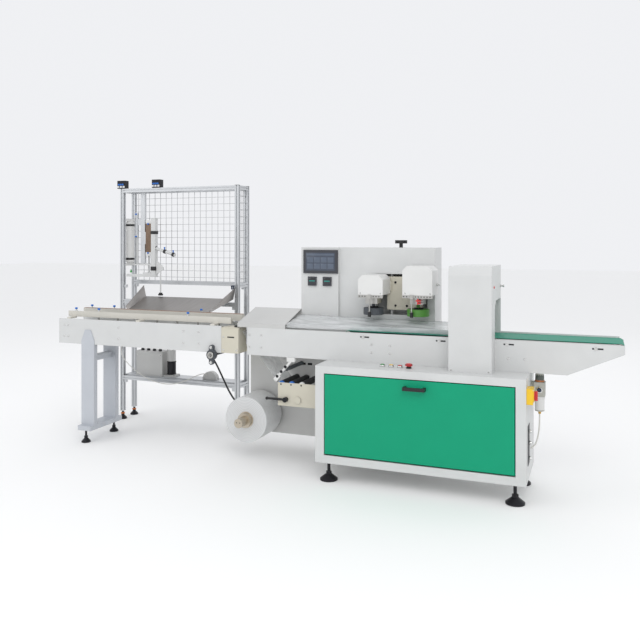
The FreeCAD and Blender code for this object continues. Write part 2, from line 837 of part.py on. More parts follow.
def belt(name, left, right):
    """An endless flat belt round two rollers, as one fixed loop."""
    outer_radius = "(roller_radius + belt_sheet)"
    loops = []
    for layer, radius in (("outer", outer_radius), ("inner", "roller_radius")):
        trim = "0" if layer == "outer" else "1"
        span_y = f"({LANE_FRONT} + plate_sheet + belt_gap - {trim})"
        width = f"({LANE_CLEAR} - 2 * belt_gap + 2 * {trim})"
        ends = [
            rod(f"{name}_{layer}_{side}", (x, span_y, BELT_AXIS), radius, width, "Y")
            for side, x in (("left", left), ("right", right))
        ]
        middle = box(f"{name}_{layer}_middle", (left, span_y, f"{BELT_AXIS} - {radius}"),
                     (f"{right} - {left}", width, f"2 * {radius}"))
        loops.append(joined(f"{name}_{layer}", middle, *ends))
    return cut(f"{name}_loop", *loops)


def rollers(name, left, right):
    """The two rollers inside a belt, with journals that reach the lane plates."""
    parts = []
    for side, x in (("left", left), ("right", right)):
        parts.append(rod(f"{name}_{side}", (x, f"{LANE_FRONT} + plate_sheet + belt_gap", BELT_AXIS),
                         "roller_radius - running_gap", f"{LANE_CLEAR} - 2 * belt_gap", "Y"))
        parts.append(rod(f"{name}_{side}_journal", (x, f"{LANE_FRONT} + plate_sheet", BELT_AXIS),
                         "roller_journal", LANE_CLEAR, "Y"))
    return joined(name, *parts)


def main_lane():
    """Side plates and deck between the transfer box and the end sealer; returns its belt and rollers."""
    length = "(sealer_left - main_left)"
    corners = [(0, 0), (length, 0), (length, "plate_height"), (0, "plate_height")]
    front, back = side_plates("main", corners, "main_left")
    left = "(belt_left + roller_radius)"
    right = "(sealer_left + belt_into_sealer - roller_radius)"
    slider = deck("main_deck", f"{left} + roller_radius + belt_end_gap",
                  f"sealer_left - {left} - roller_radius - belt_end_gap")
    node("main_plates", joined("main_frame", front, back, slider))
    return belt("main_loop", left, right), rollers("main_roller_set", left, right)


def outfeed_lane():
    """The discharge conveyor, with plates that taper to the end; returns its belt and rollers."""
    corners = [
        (0, 0),
        ("outfeed_length - outfeed_taper", 0),
        ("outfeed_length", "plate_height - outfeed_tip_height"),
        ("outfeed_length", "plate_height"),
        (0, "plate_height"),
    ]
    front, back = side_plates("outfeed", corners, SEALER_RIGHT)
    left = f"({SEALER_RIGHT} - belt_into_sealer + roller_radius)"
    right = f"({OUTFEED_RIGHT} - roller_radius - belt_sheet)"
    slider = deck("outfeed_deck", SEALER_RIGHT, f"{right} - roller_radius - belt_end_gap - {SEALER_RIGHT}")
    node("outfeed_plates", joined("outfeed_frame", front, back, slider))
    return belt("outfeed_loop", left, right), rollers("outfeed_roller_set", left, right)


def lanes():
    """Both belt conveyors; their belts share a node, and so do their rollers."""
    main_parts = main_lane()
    outfeed_parts = outfeed_lane()
    for name, *pair in zip(("lane_belts", "belt_rollers"), main_parts, outfeed_parts):
        node(name, joined(f"{name}_pair", *pair))


def end_sealer():
    """The sealer's housing, bevelled at its front top edge, with the product tunnel and two jaws."""
    depth = "(lane_back - sealer_front)"
    housing = profile(
        "sealer_body", "YZ_Plane",
        [
            (0, 0),
            (depth, 0),
            (depth, "sealer_height"),
            ("sealer_bevel_depth", "sealer_height"),
            (0, "sealer_height - sealer_bevel_height"),
        ],
        "sealer_length", ("sealer_left", "sealer_front", LEDGE))
    low = f"({BELT_AXIS} - roller_radius - belt_sheet - belt_gap)"
    height = f"({PLATE_TOP} + tunnel_height - {low})"
    tunnel = profile(
        "sealer_tunnel", "YZ_Plane",
        [
            (0, 0),
            (LANE_CLEAR, 0),
            (LANE_CLEAR, height),
            ("tunnel_bevel", height),
            (0, f"{height} - tunnel_bevel"),
        ],
        "sealer_length + 2", ("sealer_left - 1", f"{LANE_FRONT} + plate_sheet", low))
    node("end_sealer_housing", cut("sealer_cut", housing, tunnel))

    jaw_left = "(sealer_left + sealer_length / 2 - jaw_length / 2)"
    middle = f"({PLATE_TOP} + jaw_height)"
    upper = box("jaw_upper", (jaw_left, f"{LANE_FRONT} + plate_sheet", f"{middle} + jaw_gap / 2"),
                ("jaw_length", LANE_CLEAR, "jaw_height - jaw_top_gap"))
    lower = box("jaw_lower", (jaw_left, f"{LANE_FRONT} + plate_sheet", low),
                ("jaw_length", LANE_CLEAR, f"{middle} - jaw_gap / 2 - {low}"))
    node("end_sealer_jaws", joined("jaw_pair", upper, lower))


def idler_x(index):
    """X of an idler roller of the roller unit."""
    return f"(bracket_left + idler_from_left + {index} * idler_pitch)"


def roller_unit():
    """The bracket plate beside the base, its idlers, its boss and the tension lever."""
    plate = box("bracket_plate", ("bracket_left", BRACKET_FRONT, "bracket_rise"),
                ("base_left - bracket_left", "bracket_sheet", "bracket_height"))
    lever_x, lever_z = "(bracket_left + lever_from_left)", "(bracket_rise + lever_rise)"
    boss = rod("bracket_boss", ("bracket_left + boss_from_left", f"{BRACKET_FRONT} - boss_depth", lever_z),
               "boss_radius", "boss_depth", "Y")
    bores = [
        rod(f"bracket_bore_{index}", (idler_x(index), f"{BRACKET_FRONT} - 1", IDLER_Z),
            "idler_pin_radius + fit_clearance", "bracket_sheet + 2", "Y")
        for index in range(3)
    ]
    lever_bore = rod("bracket_lever_bore", (lever_x, f"{BRACKET_FRONT} - 1", lever_z),
                     "tension_pin_radius + fit_clearance", "bracket_sheet + 2", "Y")
    node("roller_bracket", cut("bracket_drilled", joined("bracket_solid", plate, boss), *bores, lever_bore))

    start = f"({BRACKET_FRONT} + bracket_sheet + idler_end_gap)"
    for index in range(3):
        drum = rod(f"idler_drum_{index}", (idler_x(index), start, IDLER_Z), "idler_radius",
                   f"lane_back - idler_end_gap - {start}", "Y")
        pin = rod(f"idler_pin_{index}", (idler_x(index), BRACKET_FRONT, IDLER_Z), "idler_pin_radius",
                  f"lane_back + pin_depth - running_gap - {BRACKET_FRONT}", "Y")
        node(f"idler_roller_{index + 1}", joined(f"idler_{index}", drum, pin))

    hub_front = f"({BRACKET_FRONT} - running_gap - tension_hub_length)"
    hub = rod("tension_hub", (lever_x, hub_front, lever_z), "tension_hub_radius", "tension_hub_length", "Y")
    pin = rod("tension_pin", (lever_x, hub_front, lever_z), "tension_pin_radius",
              "tension_hub_length + running_gap + bracket_sheet", "Y")
    arm = rod("tension_arm", (f"{lever_x} - tension_arm_length", f"{hub_front} + tension_hub_length / 2",
                              lever_z), "tension_arm_radius", "tension_arm_length", "X")
    node("tension_lever", joined("tension_solid", hub, pin, arm))


def film_sensor():
    """The slanted sensor bracket that hangs from the underside of the front lane plate."""
    clamp = box("sensor_clamp", ("sensor_x - sensor_section", f"{LANE_FRONT} - sensor_section / 2 + plate_sheet",
                                 f"{LEDGE} - sensor_section"),
                ("2 * sensor_section", "sensor_section", "sensor_section"))
    arm = doc.addObject("Part::Box", "sensor_arm")
    bind(arm, Length="sensor_length", Width="sensor_section - 4", Height="sensor_section / 2")
    put(arm, ("sensor_x", f"{LANE_FRONT} - sensor_section / 2 + plate_sheet + 2", f"{LEDGE} - sensor_section / 2"),
        ((0, 1, 0), 180 - SIZES["sensor_angle"]))
    fork = doc.addObject("Part::Box", "sensor_fork")
    bind(fork, Length="sensor_head", Width="sensor_section", Height="sensor_section")
    along = f"(sensor_length - sensor_head)"
    put(fork, (f"sensor_x - {along} * cos(sensor_angle * 1 deg)",
               f"{LANE_FRONT} - sensor_section / 2 + plate_sheet",
               f"{LEDGE} - sensor_section / 4 - {along} * sin(sensor_angle * 1 deg)"),
        ((0, 1, 0), 180 - SIZES["sensor_angle"]))
    bind(arm, **{"Placement.Rotation.Angle": "180 - sensor_angle"})
    bind(fork, **{"Placement.Rotation.Angle": "180 - sensor_angle"})
    node("film_sensor_bracket", joined("sensor_solid", clamp, arm, fork))


def film_reel():
    """The roll of film on its shaft, and what the rear wall carries for it: a bearing and a guide bar."""
    back = "(lane_back - film_roll_off_wall)"
    front = "(lane_back - film_roll_off_wall - film_roll_length)"
    roll = rod("roll_body", ("reel_x", front, "reel_z"), "film_roll_radius", "film_roll_length", "Y")
    core = rod("roll_core", ("reel_x", f"{front} - 1", "reel_z"), "reel_shaft_radius + running_gap",
               "film_roll_length + 2", "Y")
    node("film_roll", cut("roll_hollow", roll, core))

    end_front = f"({front} - reel_collar_length - reel_end_length)"
    shaft = rod("reel_bar", ("reel_x", end_front, "reel_z"), "reel_shaft_radius",
                f"lane_back - running_gap - {end_front}", "Y")
    collar = rod("reel_collar", ("reel_x", f"{front} - running_gap - reel_collar_length", "reel_z"),
                 "reel_collar_radius", "reel_collar_length", "Y")
    end_piece = rod("reel_end", ("reel_x", end_front, "reel_z"), "reel_end_radius", "reel_end_length", "Y")
    node("reel_shaft", joined("reel_solid", shaft, collar, end_piece))

    flange = rod("reel_flange", ("reel_x", "lane_back - reel_bearing_length", "reel_z"),
                 "reel_bearing_radius", "reel_bearing_length", "Y")
    bore = rod("reel_bore", ("reel_x", "lane_back - reel_bearing_length - 1", "reel_z"),
               "reel_shaft_radius + fit_clearance", "reel_bearing_length + 2", "Y")
    guide_bar = rod("guide_bar_body", ("guide_bar_x", "lane_back - guide_bar_length", "guide_bar_z"),
                    "guide_bar_radius", "guide_bar_length", "Y")
    node("wall_fittings", joined("wall_fitting_pair", cut("reel_flange_bored", flange, bore), guide_bar))


def forming_table():
    """The bent sheet that the film is drawn over, higher at the back."""
    corners = [
        (0, 0),
        ("table_sheet", 0),
        ("table_sheet", "table_front_rise - table_sheet"),
        ("lane_width - table_sheet", "table_back_rise - table_sheet"),
        ("lane_width - table_sheet", 0),
        ("lane_width", 0),
        ("lane_width", "table_back_rise"),
        (0, "table_front_rise"),
    ]
    node("forming_table", profile("table_bent", "YZ_Plane", corners, "table_length",
                                  ("table_left", LANE_FRONT, PLATE_TOP)))


def film():
    """The web from the idlers up to the table, and the tube that runs to the end sealer."""
    width = "(lane_width - 2 * film_inset)"
    web = doc.addObject("Part::Box", "web_sheet")
    bind(web, Length="film_sheet", Width=width, Height="film_web_length")
    off_axis = "(idler_radius + running_gap + film_sheet)"
    put(web, (f"{idler_x(0)} - {off_axis} * sin(film_web_angle * 1 deg)", f"{LANE_FRONT} + film_inset",
              f"{IDLER_Z} - {off_axis} * cos(film_web_angle * 1 deg)"),
        ((0, -1, 0), 90 - SIZES["film_web_angle"]))
    bind(web, **{"Placement.Rotation.Angle": "90 - film_web_angle"})
    node("film_web", web)

    low = f"({BELT_TOP} + running_gap)"
    sections = []
    for name, x, front, back, front_rise, back_rise in (
        ("fan", "table_left + table_length + film_gap", "plate_sheet + film_gap", "film_inset",
         "table_front_rise", "table_back_rise - film_tube_inset"),
        ("throat", "film_tube_left", "film_tube_inset", "film_tube_inset",
         "film_tube_height / 2", "film_tube_height"),
        ("end", f"{SEALER_RIGHT} - sealer_length / 2 - jaw_length / 2 - film_gap", "film_tube_inset",
         "film_tube_inset", "film_tube_height / 2", "film_tube_height"),
    ):
        sketch = doc.addObject("Sketcher::SketchObject", f"film_{name}")
        outline_sketch(sketch, [
            (f"lane_width - {back}", 0),
            (f"lane_width - {back}", back_rise),
            (front, front_rise),
            (front, 0),
        ])
        put(sketch, (x, LANE_FRONT, low), ((1, 1, 1), 120))
        sections.append(sketch)
    tube = doc.addObject("Part::Loft", "film_loft")
    tube.Sections = sections
    tube.Solid = True
    tube.Ruled = True
    node("film_tube", tube)


def infeed_lane():
    """The infeed side plates and bed, the lug chain, its sprockets and the guide rails."""
    corners = [(0, 0), ("infeed_length", 0), ("infeed_length", "plate_height"), (0, "plate_height")]
    front, back = side_plates("infeed", corners, "infeed_left")
    bed_left = "(infeed_left + chain_end_gap + chain_radius + bed_gap)"
    bed_length = "(infeed_length - 2 * (chain_end_gap + chain_radius + bed_gap))"
    bed = box("bed_sheet", (bed_left, f"{LANE_FRONT} + plate_sheet", f"{PLATE_TOP} - deck_below_top - deck_sheet"),
              (bed_length, LANE_CLEAR, "deck_sheet"))
    node("infeed_plates", joined("infeed_frame", front, back, bed))

    chain_y = f"({LANE_FRONT} + lane_width / 2 - chain_width / 2)"
    axis_z = f"({PLATE_TOP} - chain_drop)"
    ends = ("(infeed_left + chain_end_gap + chain_radius)", f"({INFEED_RIGHT} - chain_end_gap - chain_radius)")
    loops = []
    for layer, radius, trim in (("outer", "chain_radius", "0"),
                                ("inner", "(chain_radius - chain_height)", "1")):
        parts = [
            rod(f"chain_{layer}_{side}", (x, f"{chain_y} - {trim}", axis_z), radius,
                f"chain_width + 2 * {trim}", "Y")
            for side, x in zip(("left", "right"), ends)
        ]
        parts.append(box(f"chain_{layer}_run", (ends[0], f"{chain_y} - {trim}", f"{axis_z} - {radius}"),
                         (f"{ends[1]} - {ends[0]}", f"chain_width + 2 * {trim}", f"2 * {radius}")))
        loops.append(joined(f"chain_{layer}", *parts))
    lugs = [
        box(f"lug_{index}", (f"{ends[0]} + {index} * lug_pitch", chain_y, f"{axis_z} + chain_radius - 1"),
            ("lug_sheet", "chain_width", "lug_height + 1"))
        for index in range(1, int(number(f"{ends[1]} - {ends[0]}") / SIZES["lug_pitch"]) + 1)
    ]
    node("infeed_chain", joined("chain_solid", cut("chain_ring", *loops), *lugs))

    sprockets = []
    for side, x in zip(("left", "right"), ends):
        sprockets.append(rod(f"sprocket_{side}", (x, f"{chain_y} + chain_width / 2 - sprocket_width / 2", axis_z),
                             "chain_radius - chain_height - running_gap", "sprocket_width", "Y"))
        sprockets.append(rod(f"sprocket_shaft_{side}", (x, f"{LANE_FRONT} + plate_sheet", axis_z),
                             "sprocket_shaft_radius", LANE_CLEAR, "Y"))
    node("infeed_drive", joined("drive_set", *sprockets, drive_bearing()))

    rail_low = f"({PLATE_TOP} + rail_lift)"
    front_y = f"({LANE_FRONT} + front_rail_inset)"
    front_rail = box("front_rail", ("rail_left", front_y, rail_low),
                     ("rail_length", "front_rail_depth", "front_rail_height"))
    rear_y = "(lane_back - rear_rail_inset - rear_rail_depth)"
    rear_rail = box("rear_rail", ("rail_left", rear_y, rail_low),
                    ("rail_length", "rear_rail_depth", "rear_rail_height"))
    clips = []
    for index in range(3):
        x = f"(rail_left + rail_clip_length + {index} * (rail_length - 5 * rail_clip_length) / 2)"
        clips.append(box(f"front_clip_{index}", (x, LANE_FRONT, PLATE_TOP),
                         ("rail_clip_length", "front_rail_inset + front_rail_depth", "rail_lift")))
        clips.append(box(f"rear_clip_{index}", (x, rear_y, PLATE_TOP),
                         ("rail_clip_length", "rear_rail_inset + rear_rail_depth", "rail_lift")))
    node("infeed_rails", joined("rail_pair", front_rail, rear_rail, *clips))


def infeed_stand():
    """The two-legged stand at the far end of the infeed, bolted to its plates; returns its feet."""
    middle = "(stand_length / 2)"
    shoulder = f"({LEDGE} + stand_tab_shoulder - channel_rise - channel_height)"
    tip = f"({LEDGE} + stand_tab_height - channel_rise - channel_height)"
    tab = [
        (0, 0),
        ("stand_length", 0),
        ("stand_length", shoulder),
        (f"{middle} + stand_tab_tip / 2", tip),
        (f"{middle} - stand_tab_tip / 2", tip),
        (0, shoulder),
    ]
    foot = "(channel_rise + channel_height)"
    front_tab = profile("stand_front_tab", "XZ_Plane", tab, "stand_tab_sheet",
                        ("stand_left", LANE_FRONT, foot))
    back_tab = profile("stand_back_tab", "XZ_Plane", tab, "stand_tab_sheet",
                       ("stand_left", "lane_back + stand_tab_sheet", foot))
    leg_height = f"({LEDGE} - {foot})"
    front_leg = box("stand_front_leg", ("stand_left", f"{LANE_FRONT} - 1", foot),
                    ("stand_length", "stand_depth", leg_height))
    back_leg = box("stand_back_leg", ("stand_left", "lane_back + 1 - stand_depth", foot),
                   ("stand_length", "stand_depth", leg_height))
    bar = box("stand_bar", ("stand_left + stand_depth", f"{LANE_FRONT} + stand_depth - 2", "stand_bar_rise"),
              ("stand_length - 2 * stand_depth", "lane_width - 2 * stand_depth + 4", "stand_bar_height"))
    channel = box("stand_channel", ("stand_left", f"{LANE_FRONT} - channel_reach", "channel_rise"),
                  ("stand_length", "lane_width + 2 * channel_reach", "channel_height"))
    node("infeed_stand", joined("stand_solid", front_tab, back_tab, front_leg, back_leg, bar, channel))

    feet = [
        levelling_foot(f"infeed_foot_{side}", ("stand_left + stand_length / 2", y), "channel_rise",
                       "slim_pad_radius", "slim_dome_radius", "slim_dome_height", "slim_stem_radius",
                       "slim_nut_radius")
        for side, y in (("front", f"({LANE_FRONT} - channel_reach / 2)"),
                        ("back", "(lane_back + channel_reach / 2)"))
    ]
    return feet


def drive_bearing():
    """The oval two-bolt bearing at the drive end, with its shaft stub."""
    front = f"({LANE_FRONT} - bearing_depth)"
    centre = rod("bearing_body", ("bearing_x", front, "bearing_z"), "bearing_radius", "bearing_depth", "Y")
    lobes = [
        rod(f"bearing_lobe_{index}", ("bearing_x", front, f"bearing_z {sign} bearing_bolt_pitch / 2"),
            "bearing_lobe_radius", "bearing_depth", "Y")
        for index, sign in enumerate("+-")
    ]
    web = box("bearing_web", ("bearing_x - bearing_lobe_radius", front, "bearing_z - bearing_bolt_pitch / 2"),
              ("2 * bearing_lobe_radius", "bearing_depth", "bearing_bolt_pitch"))
    shaft = rod("bearing_shaft", ("bearing_x", f"{front} - bearing_boss_depth", "bearing_z"),
                "bearing_shaft_radius", "lane_width + bearing_depth + bearing_boss_depth", "Y")
    return joined("bearing_solid", centre, web, shaft, *lobes)


def transfer_box():
    """The small sheet box between the infeed and the wrapper."""
    body = box("transfer_body", ("transfer_left", "transfer_front", "transfer_rise"),
               ("transfer_length", "transfer_depth", "transfer_height"))
    link = box("transfer_link",
               (f"{INFEED_RIGHT} - link_lap", "transfer_front + transfer_depth", "transfer_rise"),
               (f"main_left - {INFEED_RIGHT} + 2 * link_lap",
                "lane_back - plate_sheet - transfer_front - transfer_depth", "link_height"))
    node("transfer_box", joined("transfer_whole", body, link))


def extrusion(name, corner, length, along):
    """A square slotted profile bar along X, Y or Z."""
    thick, slot, deep = "extrusion", "extrusion_slot", "extrusion_slot_depth"
    axis = "XYZ".index(along)
    sizes = [thick, thick, thick]
    sizes[axis] = length
    bar = box(f"{name}_bar", corner, sizes)
    grooves = []
    for across in sorted({0, 1, 2} - {axis}):
        other = 3 - axis - across
        for side in (0, 1):
            lengths = [None, None, None]
            place = list(corner)
            lengths[axis], lengths[across], lengths[other] = length, slot, deep
            place[across] = f"{corner[across]} + {thick} / 2 - {slot} / 2"
            if side:
                place[other] = f"{corner[other]} + {thick} - {deep}"
            grooves.append(box(f"{name}_groove_{across}{side}", place, lengths))
    return cut(name, bar, *grooves)


def guard_frame():
    """Four slotted posts, the beams and the shelf between them, the wire panels and the slim feet."""
    xs = {"left": "(guard_left - extrusion / 2)", "right": f"({GUARD_RIGHT} - extrusion / 2)"}
    ys = {"front": "(guard_front - extrusion / 2)", "back": f"({GUARD_BACK} - extrusion / 2)"}
    post_height = "guard_height - guard_foot_rise"
    posts = [
        extrusion(f"post_{side}_{face}", (x, y, "guard_foot_rise"), post_height, "Z")
        for side, x in xs.items() for face, y in ys.items()
    ]
    node("guard_posts", joined("post_set", *posts))
    feet = [
        levelling_foot(f"guard_foot_{side}_{face}", (f"{x} + extrusion / 2", f"{y} + extrusion / 2"),
                       "guard_foot_rise", "slim_pad_radius", "slim_dome_radius", "slim_dome_height",
                       "slim_stem_radius", "slim_nut_radius")
        for side, x in xs.items() for face, y in ys.items()
    ]
    node("slim_feet", joined("slim_foot_set", *feet, *infeed_stand()))

    span = "(guard_length - extrusion)"
    reach = "(guard_depth - extrusion)"
    start_x = "(guard_left + extrusion / 2)"
    start_y = "(guard_front + extrusion / 2)"
    top = "(guard_height - extrusion)"
    long_beams = [
        ("top_front", ys["front"], top),
        ("top_back", ys["back"], top),
        ("shelf_front", ys["front"], "shelf_beam_rise"),
        ("shelf_back", ys["back"], "shelf_beam_rise"),
        ("tray_front", ys["front"], "tray_beam_rise"),
        ("mesh_back", ys["back"], "mesh_beam_rise"),
    ]
    beams = [extrusion(f"beam_{name}", (start_x, y, z), span, "X") for name, y, z in long_beams]
    short_beams = [
        ("top_left", xs["left"], top),
        ("top_right", xs["right"], top),
        ("top_feeder", "(column_left + column_width / 2 - extrusion / 2)", top),
        ("shelf_left", xs["left"], "shelf_beam_rise"),
        ("shelf_right", xs["right"], "shelf_beam_rise"),
        ("side_right", xs["right"], "mesh_beam_rise"),
    ]
    beams += [extrusion(f"beam_{name}", (x, start_y, z), reach, "Y") for name, x, z in short_beams]
    shelf = box("shelf_plate", (start_x, start_y, "shelf_beam_rise + extrusion"),
                (span, reach, "shelf_sheet"))
    slope = "((tray_back_z - tray_front_z) / (tray_back_y - tray_front_y))"
    holder_top = f"(tray_back_z - tray_holder_reach * {slope} - running_gap)"
    holders = [
        box(f"tray_holder_{index}", (x, "tray_back_y - tray_holder_reach", f"{holder_top} - extrusion / 2"),
            ("extrusion", f"{ys['front']} + 1 - tray_back_y + tray_holder_reach", "extrusion / 2"))
        for index, x in enumerate(("tray_front_left + extrusion",
                                   "tray_front_left + tray_front_length - 2 * extrusion"))
    ]
    node("guard_beams", joined("beam_set", *beams, shelf, *holders))

    low = "(mesh_beam_rise + extrusion)"
    height = f"({top} - {low})"
    back_panel = wire_panel("mesh_back", (start_x, f"{GUARD_BACK} - mesh_wire / 2", low), span, height, "X")
    side_panel = wire_panel("mesh_side", (f"{GUARD_RIGHT} - mesh_wire / 2", start_y, low), reach, height, "Y")
    node("guard_mesh", joined("mesh_pair", back_panel, side_panel))


def wire_panel(name, corner, length, height, along):
    """A square wire grid in a bay of the frame, its wire ends in the slots of the bars around it."""
    lap = "(extrusion_slot_depth - running_gap)"
    x, y, z = corner
    long_x, long_y = (f"{x} - {lap}", y) if along == "X" else (x, f"{y} - {lap}")
    bars = []
    for index in range(int(number(length) / SIZES["mesh_pitch"])):
        offset = f"(mesh_pitch / 2 + {index} * mesh_pitch)"
        place = (f"{x} + {offset}", y, z) if along == "X" else (x, f"{y} + {offset}", z)
        place = (place[0], place[1], f"{z} - {lap}")
        bars.append(box(f"{name}_upright_{index}", place, ("mesh_wire", "mesh_wire", f"{height} + 2 * {lap}")))
    for index in range(int(number(height) / SIZES["mesh_pitch"])):
        full = f"{length} + 2 * {lap}"
        lengths = (full, "mesh_wire", "mesh_wire") if along == "X" else ("mesh_wire", full, "mesh_wire")
        bars.append(box(f"{name}_level_{index}", (long_x, long_y, f"{z} + mesh_pitch / 2 + {index} * mesh_pitch"),
                        lengths))
    return joined(name, *bars)


def shelf_units():
    """The grey box, the upright motor and the round brown cover that stand on the shelf."""
    middle = "(guard_front + guard_depth / 2)"
    case = box("shelf_box_body", ("shelf_box_left", f"{middle} - shelf_box_depth / 2", SHELF_TOP),
               ("shelf_box_length", "shelf_box_depth", "shelf_box_height"))
    base = box("motor_foot", ("motor_x - motor_base / 2", f"{middle} - motor_base / 2", SHELF_TOP),
               ("motor_base", "motor_base", "motor_base_height"))
    barrel = rod("motor_barrel", ("motor_x", middle, f"{SHELF_TOP} + motor_base_height"), "motor_radius",
                 "motor_height - motor_base_height")
    drum = rod("dome_drum", ("dome_x", f"{middle} - dome_depth / 2", SHELF_TOP), "dome_radius", "dome_depth",
               "Y")
    below = box("dome_below", ("dome_x - dome_radius", f"{middle} - dome_depth / 2 - 1",
                               f"{SHELF_TOP} - dome_radius"),
                ("2 * dome_radius", "dome_depth + 2", "dome_radius"))
    node("shelf_units", joined("shelf_unit_set", case, joined("motor_solid", base, barrel),
                               cut("dome_half", drum, below)))


def product_tray():
    """The sloped chute: a sheet floor with side walls that flare and rise towards the back."""
    sections = []
    for end in ("front", "back"):
        length, wall = f"tray_{end}_length", f"tray_{end}_wall"
        sheet_at_wall = "(tray_sheet + 0.2)"
        sketch = doc.addObject("Sketcher::SketchObject", f"tray_{end}")
        outline_sketch(sketch, [
            ("tray_flare", 0),
            (f"tray_flare + {length}", 0),
            (f"2 * tray_flare + {length}", wall),
            (f"2 * tray_flare + {length} - {sheet_at_wall}", wall),
            (f"tray_flare + {length} - {sheet_at_wall}", "tray_sheet"),
            (f"tray_flare + {sheet_at_wall}", "tray_sheet"),
            (sheet_at_wall, wall),
            (0, wall),
        ])
        put(sketch, (f"tray_{end}_left - tray_flare", f"tray_{end}_y", f"tray_{end}_z"), ((1, 0, 0), 90))
        sections.append(sketch)
    chute = doc.addObject("Part::Loft", "tray_loft")
    chute.Sections = sections
    chute.Solid = True
    chute.Ruled = True
    node("product_tray", chute)


def feeder():
    """The air receiver, the column with its cylinders, and the head that they raise."""
    depth_centre = "(guard_front + guard_depth / 2)"
    cap_radius = "(receiver_radius - receiver_cap)"
    tank = turned(
        "receiver_tank",
        [
            (0, 0),
            (cap_radius, 0),
            ("receiver_radius", "receiver_cap"),
            ("receiver_radius", "receiver_height - receiver_cap"),
            (cap_radius, "receiver_height"),
            (0, "receiver_height"),
        ],
        ("receiver_x", depth_centre, "receiver_rise"))
    clamps = [
        box(f"receiver_clamp_{index}", ("guard_left - extrusion / 2", "guard_front + extrusion / 2", z),
            ("extrusion", "guard_depth - extrusion", "receiver_clamp"))
        for index, z in enumerate(("receiver_rise - receiver_clamp", "receiver_rise + receiver_height"))
    ]
    node("air_receiver", joined("receiver_solid", tank, *clamps))

    column = box("column_plate", ("column_left", GUIDED_FRONT, "column_rise"),
                 ("column_width", "column_thickness", "guard_height - extrusion - column_rise"))
    rod_y = f"({GUIDED_FRONT} + column_thickness / 2)"
    barrel = rod("cylinder_barrel", ("cylinder_x", rod_y, "cylinder_rise"), "cylinder_radius",
                 "cylinder_height")
    bore = rod("cylinder_bore", ("cylinder_x", rod_y, "cylinder_rise - 1"), "rod_radius + fit_clearance",
               "cylinder_height - cylinder_radius")
    clip = box("cylinder_clip", ("cylinder_x", f"{rod_y} - 5", "cylinder_rise + cylinder_height / 2"),
               ("column_left - cylinder_x", 10, "cylinder_height / 4"))
    body = box("guided_body", ("guided_left", GUIDED_FRONT, "guided_rise"),
               ("guided_length", "guided_depth", "guided_height"))
    link = box("guided_link", ("column_left + column_width", GUIDED_FRONT, "guided_rise + guided_height / 3"),
               ("guided_left - column_left - column_width", "column_thickness", "guided_height / 3"))
    centre = "(guided_left + guided_length / 2)"
    guided_bores = [
        rod(f"guided_bore_{index}", (f"{centre} {sign} guided_rod_pitch / 2", GUIDED_ROD_Y,
                                     "guided_rise - 1"),
            "rod_radius + fit_clearance", "guided_height - guided_rod_pitch")
        for index, sign in enumerate("+-")
    ]
    node("feeder_column", cut("feeder_bored", joined("feeder_solid", column, barrel, clip, body, link),
                              bore, *guided_bores))

    tube = box("head_tube", ("head_tube_left", "head_tube_front", "head_tube_rise"),
               ("head_tube_width", "head_tube_width", "head_tube_height"))
    bar = box("head_bar", ("head_bar_left", "head_tube_front + head_tube_width / 4", "head_tube_rise"),
              ("head_tube_left - head_bar_left + 1", "head_tube_width / 2", "head_bar_height"))
    plate = box("head_plate", ("guided_left", "head_tube_front + head_tube_width / 4",
                               "head_tube_rise + head_bar_height"),
                ("head_tube_left - guided_left + 1",
                 f"{GUIDED_FRONT} + guided_depth - head_tube_front - head_tube_width / 4",
                 "head_plate_height"))
    rod_foot = "(head_tube_rise + head_bar_height)"
    rods = [
        rod(f"head_rod_{index}", (f"{centre} {sign} guided_rod_pitch / 2", GUIDED_ROD_Y, rod_foot),
            "rod_radius", f"guided_rise + guided_rod_lap - {rod_foot}")
        for index, sign in enumerate("+-")
    ]
    link_bar = box("link_bar", ("cylinder_x - cylinder_radius", HEAD_BACK, "link_bar_rise"),
                   ("head_tube_left + head_tube_width - cylinder_x + cylinder_radius", "link_bar_depth",
                    "link_bar_height"))
    link_block = box("link_block", ("cylinder_x - cylinder_radius", HEAD_BACK, "link_bar_rise"),
                     ("2 * cylinder_radius", f"{rod_y} + cylinder_radius - {HEAD_BACK}", "link_bar_height"))
    piston = rod("piston_rod", ("cylinder_x", rod_y, "link_bar_rise"), "rod_radius",
                 "cylinder_rise + rod_lap - link_bar_rise")
    gusset = profile(
        "head_gusset", "XZ_Plane",
        [(0, 0), ("gusset_length", "gusset_height / 3"), ("gusset_length", "gusset_height / 2"),
         (0, "gusset_height")],
        "gusset_sheet", ("head_tube_left + head_tube_width", "head_tube_front + head_tube_width / 2",
                         "head_tube_rise + head_bar_height"))
    tray_floor = "(tray_back_z + tray_sheet)"
    pusher_x = "(head_tube_left + head_tube_width + pusher_from_tube)"
    pusher = rod("head_pusher", (pusher_x, "head_tube_front + head_tube_width / 2 - gusset_sheet / 2",
                                 f"{tray_floor} + pusher_clear_tray"), "pusher_radius",
                 f"head_tube_rise + head_bar_height + gusset_height / 3 - {tray_floor} - pusher_clear_tray")
    slant = doc.addObject("Part::Cylinder", "head_slant")
    bind(slant, Radius="slant_radius", Height="slant_length")
    put(slant, ("head_tube_left + head_tube_width / 2", "head_tube_front + head_tube_width / 2",
                "head_tube_rise + head_tube_height / 2"), ((0, 1, 0), SIZES["slant_angle"]))
    bind(slant, **{"Placement.Rotation.Angle": "slant_angle"})
    node("pick_head", joined("head_solid", tube, bar, plate, *rods, link_bar, link_block, piston, gusset,
                             pusher, slant))

